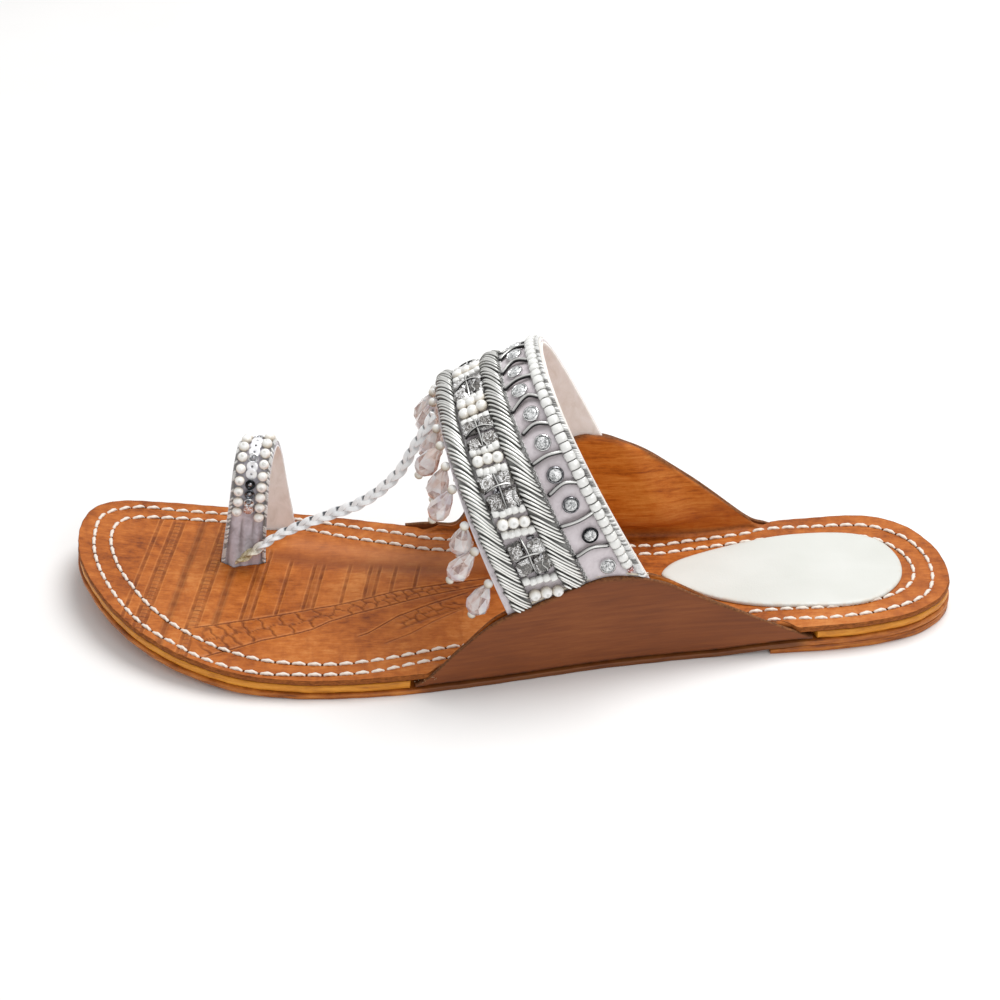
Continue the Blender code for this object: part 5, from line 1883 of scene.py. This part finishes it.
def band_beads():
    """White seed beads along the back edge and in blocks on the panel, with a red one near the ear."""
    dice = np.random.default_rng(31)
    small, large, red = Places(), Places(), Places()
    for number in range(int(BAND_LENGTH / SEED_PITCH)):
        along = (number + 0.5) * SEED_PITCH / BAND_LENGTH
        point, out, over = band_frame(SEED_SHARE + dice.uniform(-0.002, 0.002), along, 0.9)
        if not clear_of_ears(point, 0.9):
            continue
        size = np.array([1.24, 1.24, 1.1]) * dice.uniform(0.94, 1.05, 3)
        if red.rows:
            small.add(point, out, over, size * [1.27, 1.3, 1.0])
        else:
            red.add(point, out, over, size * RED_SIZE * [1.27, 1.3, 1.0])
    for along, beads in [row for block in BLOCKS for row in block]:
        for k in range(beads):
            share = between(*PANEL, (k + 0.5) / beads) + dice.uniform(-0.003, 0.003)
            place = (along + dice.uniform(-0.15, 0.15)) / 100
            point, out, over = band_frame(share, place, 1.35 if beads == 3 else 0.95)
            if not clear_of_ears(point, 0.8):
                continue
            across = np.cross(over, out)
            if beads == 3:
                large.add(point, out, across, 1.7 * dice.uniform(0.97, 1.03))
            else:
                size = np.array([1.3, 1.3, 1.2]) * dice.uniform(0.96, 1.04)
                small.add(point, out, across, size)
    bead, pearl_body = barrel("bead_body", SEED), ball("pearl_body")
    settle(small.sew("band_seed_beads", bead, SEED), "crystal")
    settle(large.sew("band_pearls", pearl_body, PEARL), "crystal")
    settle(faceted(red.sew("red_bead", bead, RED_GLASS), 33), "crystal")
    discard(bead, pearl_body)


BUGLES = 9  # in each cluster
CLUSTER_CLEAR = 1.0


def panel_glass():
    """Clusters of cut glass between the blocks of beads, held down by crossed wires."""
    dice = np.random.default_rng(41)
    stones, bugles, lines = Places(), Places(), []
    u = np.linspace(-1.0, 1.0, 13)
    for number, centre in enumerate(CLUSTERS):
        for share, shift in ((0.238, -1.75), (0.37, -1.6), (0.236, 1.55), (0.375, 1.7)):
            share = share + dice.uniform(-0.008, 0.008)
            along = (centre + shift + dice.uniform(-0.2, 0.2)) / 100
            point, out, over = band_frame(share, along, 0.15)
            if not clear_of_ears(point, CLUSTER_CLEAR):
                continue
            tilt = leaning(dice, out, over, 0.18)
            size = 2.5 * dice.uniform(0.92, 1.08), 2.3 * dice.uniform(0.92, 1.08), 1.4
            stones.add(point, tilt, over, size)
        for _ in range(BUGLES):
            share, along = dice.uniform(*PANEL), (centre + dice.uniform(-3.4, 3.4)) / 100
            point, out, over = band_frame(share, along, dice.uniform(0.3, 1.2))
            if clear_of_ears(point, CLUSTER_CLEAR):
                turn = dice.uniform(0, math.pi)
                way = over * math.cos(turn) + np.cross(over, out) * math.sin(turn)
                bugles.add(point, unit(out + way * 0.1), way, (1.3, 0.55, 0.55))
        arch = np.sqrt(1 - 0.96 * u * u)
        share = 0.306 + 0.004 * np.sin(u * 4 + number)
        lines.append(on_band(share, (centre + 3.7 * u) / 100, 0.5 + 1.75 * arch))
        along = (centre + 0.25 + 0.55 * (1 - u * u) + 0.3 * u) / 100
        lines.append(on_band(0.305 + 0.118 * u, along, 0.5 + 1.9 * arch))
        share = 0.34 + dice.uniform(-0.02, 0.05) + 0.01 * np.sin(np.arange(9))
        lines.append(on_band(share, (centre + np.linspace(-3.0, -0.4, 9)) / 100, 1.9))
    lines = [line for line in (above_ears(line) for line in lines) if line is not None]
    stone, tube = chip("stone_body", GREY_GLASS), barrel("bugle_body", GREY_GLASS, 6)
    settle(faceted(stones.sew("panel_stones", stone, GREY_GLASS, smoothed=False), 42), "crystal")
    settle(bugles.sew("panel_bugles", tube, CUP_GREY), "crystal")
    settle(crested(wires("panel_wires", lines, 0.3, GREY_PURL, 6), 0.6), "satin")
    discard(stone, tube)


STUD_RADIUS = 2.25
STUD_CUP = (
    (0.72, 0.0), (0.98, 0.1), (1.05, 0.34), (1.0, 0.56), (0.9, 0.62), (0.82, 0.52), (0.78, 0.3),
    (0.3, 0.24),
)
STUD_STONE = ((0.5, 0.0), (1.0, 0.2), (0.86, 0.42), (0.52, 0.56), (0.001, 0.6))


def stud_row():
    """Cut stones in metal cups along the satin field, and the arched wires between them."""
    dice = np.random.default_rng(51)
    cups, stones = [Places(), Places(), Places()], Places()
    for share, along, kind in STUDS:
        point, out, over = band_frame(share, along / 100, 0.15)
        if not clear_of_ears(point, 1.2):
            continue
        tilt = leaning(dice, out, over, 0.12)
        radius = STUD_RADIUS * dice.uniform(0.97, 1.04)
        cups[kind].add(point, tilt, over, radius)
        stones.add(point + tilt * 0.6, tilt, over, radius * 0.8)
    stone = turned("stud_stone_body", CLEAR_GLASS, STUD_STONE, 10, 5, twist=True)
    settle(faceted(stones.sew("stud_stones", stone, CLEAR_GLASS, smoothed=False), 52), "crystal")
    discard(stone)
    for kind, finish in enumerate((CUP_SILVER, CUP_GREY, CUP_BLACK)):
        cup = turned("cup_body", finish, STUD_CUP, 20, 60)
        settle(cups[kind].sew(f"stud_cups_{kind + 1}", cup, finish), "crystal")
        discard(cup)
    lines = []
    u = np.linspace(0.0, 1.0, 15)
    lift = 0.2 + 0.8 * np.sqrt(np.sin(np.pi * np.clip(u, 0.02, 0.98)))
    for wire in FIELD_WIRES:
        share, along = zip(*wire)
        share = np.interp(u, (0, 0.5, 1), share)
        along = line_y(curve(list(zip((0.0, 0.5, 1.0), along)), steps=7), u) / 100
        lines.append(above_ears(on_band(share, along, lift)))
    lines = [line for line in lines if line is not None]
    settle(crested(wires("field_wires", lines, 0.58, GREY_PURL, 10), 1.0), "satin")


PIPING = 0.42


def edge_cords():
    """Piping on the band's edges, the stitches over its back edge and the zigzag threads."""
    along = np.linspace(0.03, 0.97, 260)
    for name, share, finish, lift in (
        ("back_piping", 0.996, WHITE_THREAD, -0.35), ("front_piping", 0.006, BAND_SATIN, -0.4),
    ):
        line = on_band(share, along, lift + 0.06 * np.sin(along * 300))
        line = line[clear_of_ears(line, 0.0)]
        settle(wires(name, [line], PIPING, finish, 8), "satin")
    share, lift, lean = (0.992, 0.98, 0.966, 0.953), (0.1, 0.42, 0.42, 0.1), np.linspace(0.0, 0.004, 4)
    lines = [on_band(share, level + lean, lift) for level in np.arange(0.04, 0.95, 0.0038)]
    whipped("back_whipping", [line for line in lines if clear_of_ears(line, 0.2).all()], 0.4, 0.34)
    zigzag("rope_zigzag", 0.606, 0.02, 0.7, 0.18, SILVER_THREAD, 0.2, rows=2)
    zigzag("rope_zigzag_dark", 0.608, 0.012, 0.8, 0.14, TARNISHED_THREAD, 0.32)
    zigzag("panel_zigzag", 0.17, 0.012, 0.6, 0.15, SILVER_THREAD, 0.12, rows=2)


def whipped(name, lines, thick, dull):
    """Short stitches over an edge, a share of them in thinner, tarnished thread."""
    dark = np.random.default_rng(81).uniform(0.0, 1.0, len(lines)) < dull
    for part, tarnished, radius, finish in (
        ("_light", False, thick, SILVER_THREAD), ("_dark", True, thick * 0.6, TARNISHED_THREAD),
    ):
        chosen = [lines[number] for number in np.flatnonzero(dark == tarnished)]
        settle(wires(name + part, chosen, radius, finish, 5), "satin")


# ---------------------------------------------------------------- drops

CROWN_SHARE = 0.43  # past the crown of the foot the drops lean less to the toe
DROP_PROFILE = ((0.001, -8.7), (1.6, -8.4), (2.8, -7.0), (3.0, -5.4), (2.1, -2.3), (0.9, 0.0))


def crystal_drops():
    """Faceted drops that hang from the band's front edge, each between two small pearls."""
    dice = np.random.default_rng(61)
    crystals, pearls, ends, lines = Places(), Places(), Places(), []
    away = unit(DROP_OUT)
    for share, forward, sideways in DROPS:
        forward *= 1.0 if share < CROWN_SHARE else 0.6
        point = sample(BAND_FACE, 0.0, share) - sample(BAND_OUT, 0.0, share) * BAND / 2
        start = point + away * (GAP + DROP_SEED)
        fall = np.array([forward, sideways, -math.sqrt(1 - forward**2 - sideways**2)])
        turn = dice.uniform(0, math.pi)
        side = unit(np.cross(fall, [math.cos(turn), math.sin(turn), 0.3]))
        size = np.array([1.1, 0.98, 1.04]) * dice.uniform(0.97, 1.03)
        crystals.add(start + fall, -fall, side, size)
        pearls.add(start, -fall, side, 1.3)
        ends.add(start + fall * 10.8, -fall, side, (1.2, 1.2, 1.05))
        lines.append(np.array([point - away * 0.4, start, start + fall * 6, start + fall * 11.1]))
    crystal = turned("drop_body", CRYSTAL, DROP_PROFILE, 8, 5, twist=True)
    x, y, z = places_of(crystal.data)[0].T
    mark(crystal.data, "girth", np.cos(np.arctan2(y, x)))
    pearl_body = ball("drop_pearl_body", 14, 9)
    names = [f"drop_{number:02d}" for number in range(1, len(DROPS) + 1)]
    settle(faceted(crystals.sew("crystal_drops", crystal, CRYSTAL, smoothed=False), 62), "crystal", *names)
    settle(pearls.sew("drop_pearls", pearl_body, PEARL), "crystal")
    settle(ends.sew("drop_end_beads", pearl_body, PEARL), "crystal")
    settle(wires("drop_threads", lines, 0.14, WHITE_THREAD, 5), "crystal")
    discard(crystal, pearl_body)


# ---------------------------------------------------------------- toe ring

RING_ROWS = 161
RING_LENGTH = 80.5
RING_BARE = 16.5  # bare satin at either foot
SATIN_INSIDE, LINING_TOP = 0.95, 1.0  # below the ring's outer face
RING_FRAMES = ring_frames(RING_ROWS)
RING_RUN = np.linspace(0.0, RING_LENGTH, RING_ROWS)
# Where along the ring the first trims of its middle row are sewn; white and silver ones follow.
RING_TRIMS = {22.3: "grey", 25.0: "smoke", 27.8: "dark", 30.6: "white", 32.6: "white", 34.8: "grey"}
TRIMS_FROM, TRIM_PITCH = 36.8, 2.15
PEARL_ROWS = ((-3.1, 19.2), (3.15, 17.9))  # towards the heel, and where each row starts
PEARL_PITCH = 3.1
WASHER = ((0.2, 0.0), (0.98, 0.06), (1.0, 0.14), (0.92, 0.2), (0.34, 0.16), (0.22, 0.1))
TRIM_CUP = ((0.6, 0.0), (0.96, 0.2), (1.0, 0.5), (0.9, 0.56), (0.66, 0.34), (0.2, 0.26))


def on_ring(across, along, lift):
    """A point over the ring: across in millimetres towards the heel, along from its near foot."""
    middle, heelward, out, width = RING_FRAMES
    reached = np.asarray(along, float) / RING_LENGTH * (RING_ROWS - 1)
    low = np.clip(reached.astype(int), 0, RING_ROWS - 2)
    share = (reached - low)[..., None]

    def pick(rows):
        return rows[low] * (1 - share) + rows[low + 1] * share

    sideways = pick(heelward) * np.asarray(across, float)[..., None]
    return pick(middle) + sideways + pick(out) * np.asarray(lift, float)[..., None]


def ring_ways(along):
    """The ways out of the ring, to the heel and along it."""
    middle, heelward, out, width = RING_FRAMES
    low = int(along / RING_LENGTH * (RING_ROWS - 1))
    return out[low], heelward[low], unit(middle[low + 1] - middle[low])


def ring_cloth():
    """The ring's wrinkled satin, folded at its near foot, and the lining inside it."""
    middle, heelward, out, width = RING_FRAMES
    run = RING_RUN[:, None]
    share = np.linspace(-0.5, 0.5, 25)[None, :]
    inside = 0.5 - np.abs(share)
    crown = (smooth(inside, 0.0, 0.3) - 1) * RING_CROWN
    bare = 1 - smooth(np.minimum(run, RING_LENGTH - run), RING_BARE - 2, RING_BARE + 1)
    folds = np.sin(share * 22 + 0.9 * np.sin(run * 0.16) + 0.6) * 0.2
    folds = folds + np.sin(share * 41 + run * 0.22) * 0.08
    tent = np.minimum((share + 0.5) / (0.5 - FOOT_FOLD), (0.5 - share) / (0.5 + FOOT_FOLD))
    bulge = FOOT_BULGE * tent * (1 - smooth(run, 1.0, 16.0))
    lift = crown + folds * bare * smooth(inside, 0.0, 0.12) + bulge
    across = share * width[:, None]
    face = middle[:, None] + heelward[:, None] * across[..., None]
    ways = np.broadcast_to(out[:, None], face.shape)
    low = bulge + crown * 0.6
    satin_low = low[..., None] - SATIN_INSIDE
    satin_piece = cloth_shell("ring_satin", face, ways, lift, satin_low, RING_SATIN)
    # Painted shade in the troughs of the folds.
    shaded_folds = smooth(-folds, 0.05, 0.25) * bare
    nearest_marks(satin_piece, face, along=run, across=across, soil=shaded_folds)
    settle(satin_piece, "satin", "toe_ring")
    lining_low = bulge[..., None] - RING
    lining = cloth_shell("ring_lining", face, ways, low - LINING_TOP, lining_low, RING_LINING)
    settle(lining, "satin")


def toe_ring():
    """The ring's cloth, its pearls, sequins and small cups, and the stitches over its edges."""
    ring_cloth()
    dice = np.random.default_rng(71)
    pearls, rosy, centres = Places(), Places(), Places()
    for across, along in PEARL_ROWS:
        while along < RING_LENGTH - RING_BARE:
            point = on_ring(across + dice.uniform(-0.1, 0.1), along, 0.95)
            size = np.array([1.5, 1.5, 1.45]) * dice.uniform(0.97, 1.03)
            pearls.add(point, *ring_ways(along)[:2], size)
            along += PEARL_PITCH
    rosy.add(on_ring(0.1, 20.0, 0.8), *ring_ways(20.0)[:2], (1.6, 1.35, 1.1))
    trims = {"white": Places(), "grey": Places(), "smoke": Places(), "dark": Places()}
    for along in [*RING_TRIMS, *np.arange(TRIMS_FROM, RING_LENGTH - RING_BARE, TRIM_PITCH)]:
        kind = RING_TRIMS.get(along, "grey" if int(along * 10) % 3 == 0 else "white")
        out, heelward, ahead = ring_ways(along)
        size = 1.62 if kind == "white" else 1.5
        trims[kind].add(on_ring(0.0, along, 0.5), unit(out - ahead * 0.16), heelward, size)
    pearl_body = ball("ring_pearl_body", 16, 9)
    settle(pearls.sew("ring_pearls", pearl_body, PEARL), "crystal")
    settle(faceted(rosy.sew("ring_rosy_bead", pearl_body, ROSY_GLASS), 72), "crystal")
    for kind, finish, profile in (
        ("white", SEQUIN, WASHER), ("grey", CUP_SILVER, TRIM_CUP),
        ("smoke", CUP_SMOKE, TRIM_CUP), ("dark", CUP_BLACK, TRIM_CUP),
    ):
        disc = turned("disc_body", finish, profile, 18, 50)
        settle(trims[kind].sew(f"ring_sequins_{kind}", disc, finish), "crystal")
        discard(disc)
    for kind in ("grey", "smoke", "dark", "white"):
        rise, share = (0.1, 0.22) if kind == "white" else (0.45, 0.5)
        for point, out, along, size in trims[kind].rows:
            centres.add(point + out * rise, out, along, size * share)
    settle(centres.sew("ring_sequin_beads", pearl_body, CUP_GREY), "crystal")
    discard(pearl_body)
    lines = []
    inset, lift = np.array([0.0, 0.2, 0.45, 0.7]), (-0.3, 0.12, 0.2, 0.05)
    lean = np.linspace(-0.45, 0.45, 4)
    for side in (-1, 1):
        for step in np.arange(1.5, RING_LENGTH - 1.5, 0.66):
            half = np.interp(step, RING_RUN, RING_FRAMES[3]) / 2
            lines.append(on_ring(side * (half - inset), step + lean, lift))
    whipped("ring_whipping", lines, 0.32, 0.42)


# ---------------------------------------------------------------- plait

PLAIT_PERIOD, PLAIT_RAW = 13.8, 13.0
PLAIT_ROWS, STRAND_SIDES = 420, 10
STRAND_WIDE, STRAND_THICK = 0.76, 0.25  # half sizes
PLAIT_SWAY, PLAIT_RISE = 1.0, 0.36
PLAIT_GAP = math.radians(127.0)  # where in its turn a strand goes under the next, and a dark gap is painted there as shade
PLAIT_RIM = (1.28, 1.5)  # how far out the painted gap shade reaches
# Degrees that its flat side is turned to the outer side, low down and near the band.
PLAIT_TURN = (8.0, 54.0)


def plait():
    """Three flat strands plaited together, from a raw tapered end up to the band."""
    route = spaced(curve(BRAID_ROUTE, steps=16), PLAIT_ROWS)
    run = run_of(route)
    along = unit(np.gradient(route, axis=0))
    level = unit(np.cross(along, [0.0, 0.0, 1.0]))
    up = np.cross(level, along)
    side = np.where(level[:, 1:2] > 0, 1.0, -1.0)
    turned_by = np.radians(between(*PLAIT_TURN, smooth(run, 6.0, 28.0)))[:, None]
    across = level * np.cos(turned_by) - up * side * np.sin(turned_by)
    rise = up * np.cos(turned_by) + level * side * np.sin(turned_by)
    taper = between(0.5, 1.0, smooth(run, 0.0, 3.5)) * (1 + 0.6 * pressed(run - 6.0, 6.0))
    taper = taper * between(0.86, 1.0, smooth(run, 14.0, 50.0))
    cut = Cut()
    middles, gap_shade = [], []
    for strand in range(3):
        turn = 2 * np.pi * (run / PLAIT_PERIOD + strand / 3)
        sway = PLAIT_SWAY * np.sin(turn) * taper
        over = PLAIT_RISE * np.sin(2 * turn) * taper
        middle = route + across * sway[:, None] + rise * over[:, None]
        middles.append(middle)
        outward = (across * sway[:, None])[:, 1] > 0
        gap = smooth(np.cos(2 * (turn - PLAIT_GAP)), 0.3, 0.6) * smooth(run, 12.0, 20.0)
        gap_shade.append(gap * np.where(outward, 0.22, 1.0))
        way = unit(np.gradient(middle, axis=0))
        roll = rise * (0.25 * np.cos(turn))[:, None]
        flat = unit(across - way * (across * way).sum(axis=1, keepdims=True) + roll)
        face = unit(np.cross(flat, way))
        grid = []
        for x, y, z in circle(1.0, 0.0, STRAND_SIDES):
            wide = math.copysign(abs(x) ** 0.6, x) * STRAND_WIDE * taper
            thick = math.copysign(abs(y) ** 0.6, y) * STRAND_THICK * between(0.8, 1.0, taper)
            grid.append(middle + flat * wide[:, None] + face * thick[:, None])
        grid = np.stack(grid, axis=1)
        cut.sheet(grid, round_columns=True)
        cut.cap(grid[0])
        cut.cap(grid[-1])
    piece = cut.piece("toe_plait", FOIL, sharp=50)
    points, normals = places_of(piece.data)
    middles, gap_shade = np.concatenate(middles), np.concatenate(gap_shade)
    nearest = np.array([np.argmin(((middles - point) ** 2).sum(axis=1)) for point in points])
    row = nearest % PLAIT_ROWS
    edge = 1 - smooth(np.abs((normals * rise[row]).sum(axis=1)), 0.2, 0.5)
    mark(piece.data, "raw", 1 - smooth(run[row], PLAIT_RAW * 0.35, PLAIT_RAW))
    offset = ((points - route[row]) * across[row]).sum(axis=1)
    inside = 1 - smooth(np.abs(offset), *PLAIT_RIM)
    mark(piece.data, "side", np.maximum(gap_shade[nearest] * inside, 0.3 * edge))
    settle(piece, "white_leather", "braid")


# ---------------------------------------------------------------- camera and light

CAMERA_TARGET = (0.003, -0.014, 0.025)
CAMERA_TURN, CAMERA_RISE, CAMERA_AWAY = math.radians(86.0), math.radians(33.0), 0.7
CAMERA_LENS, CAMERA_SENSOR = 87.78, 36.0
WORLD_LIGHT = 0.6
LIGHT_SIZE = 0.7
FLOOR_HALF = 2500.0


def aimed(made, place, target):
    made.location = place
    made.rotation_euler = (Vector(target) - Vector(place)).to_track_quat("-Z", "Y").to_euler()
    return made


def area_light(name, place, target, power):
    lamp = bpy.data.lights.new(name, "AREA")
    lamp.shape, lamp.size, lamp.energy = "DISK", LIGHT_SIZE, power
    aimed(placed(name, lamp), place, target)


def studio():
    """The camera, two soft lights over a white world, and the pale floor."""
    scene = bpy.context.scene
    world = bpy.data.worlds.new("studio")
    world.use_nodes = True
    world.node_tree.nodes["Background"].inputs["Color"].default_value = (1.0, 1.0, 1.0, 1.0)
    world.node_tree.nodes["Background"].inputs["Strength"].default_value = WORLD_LIGHT
    scene.world = world
    scene.view_settings.view_transform = "Standard"
    camera = bpy.data.cameras.new("camera")
    camera.lens, camera.sensor_width = CAMERA_LENS, CAMERA_SENSOR
    camera.clip_start, camera.clip_end = 0.05, 20.0
    level = math.cos(CAMERA_RISE)
    way = Vector((
        level * math.cos(CAMERA_TURN), level * math.sin(CAMERA_TURN), math.sin(CAMERA_RISE),
    ))
    place = Vector(CAMERA_TARGET) + way * CAMERA_AWAY
    scene.camera = aimed(placed("camera", camera), place, CAMERA_TARGET)
    area_light("overhead", (-0.3, -0.25, 1.0), (0.0, 0.0, 0.0), 9.0)
    area_light("front", (-0.45, 1.1, 0.8), (0.0, 0.0, 0.02), 3.4)
    cut = Cut()
    cut.sheet([[(x, y, 0.0) for x in (-FLOOR_HALF, FLOOR_HALF)] for y in (-FLOOR_HALF, FLOOR_HALF)])
    cut.piece("floor", FLOOR)


studio()
sole_layers()
top_leather()
ear_cover("ear_hide_lateral", LATERAL, "ear_lateral")
ear_cover("ear_hide_medial", MEDIAL, "ear_medial")
ear_binding("binding_lateral", LATERAL, -34.0, 4.0)
loose_fibres()
stitch_rows()
heel_cover()
band_cloth()
for number, (first, last, closing) in enumerate(ROPES, 1):
    rope(number, first, last, closing)
edge_cords()
band_beads()
panel_glass()
stud_row()
crystal_drops()
toe_ring()
plait()
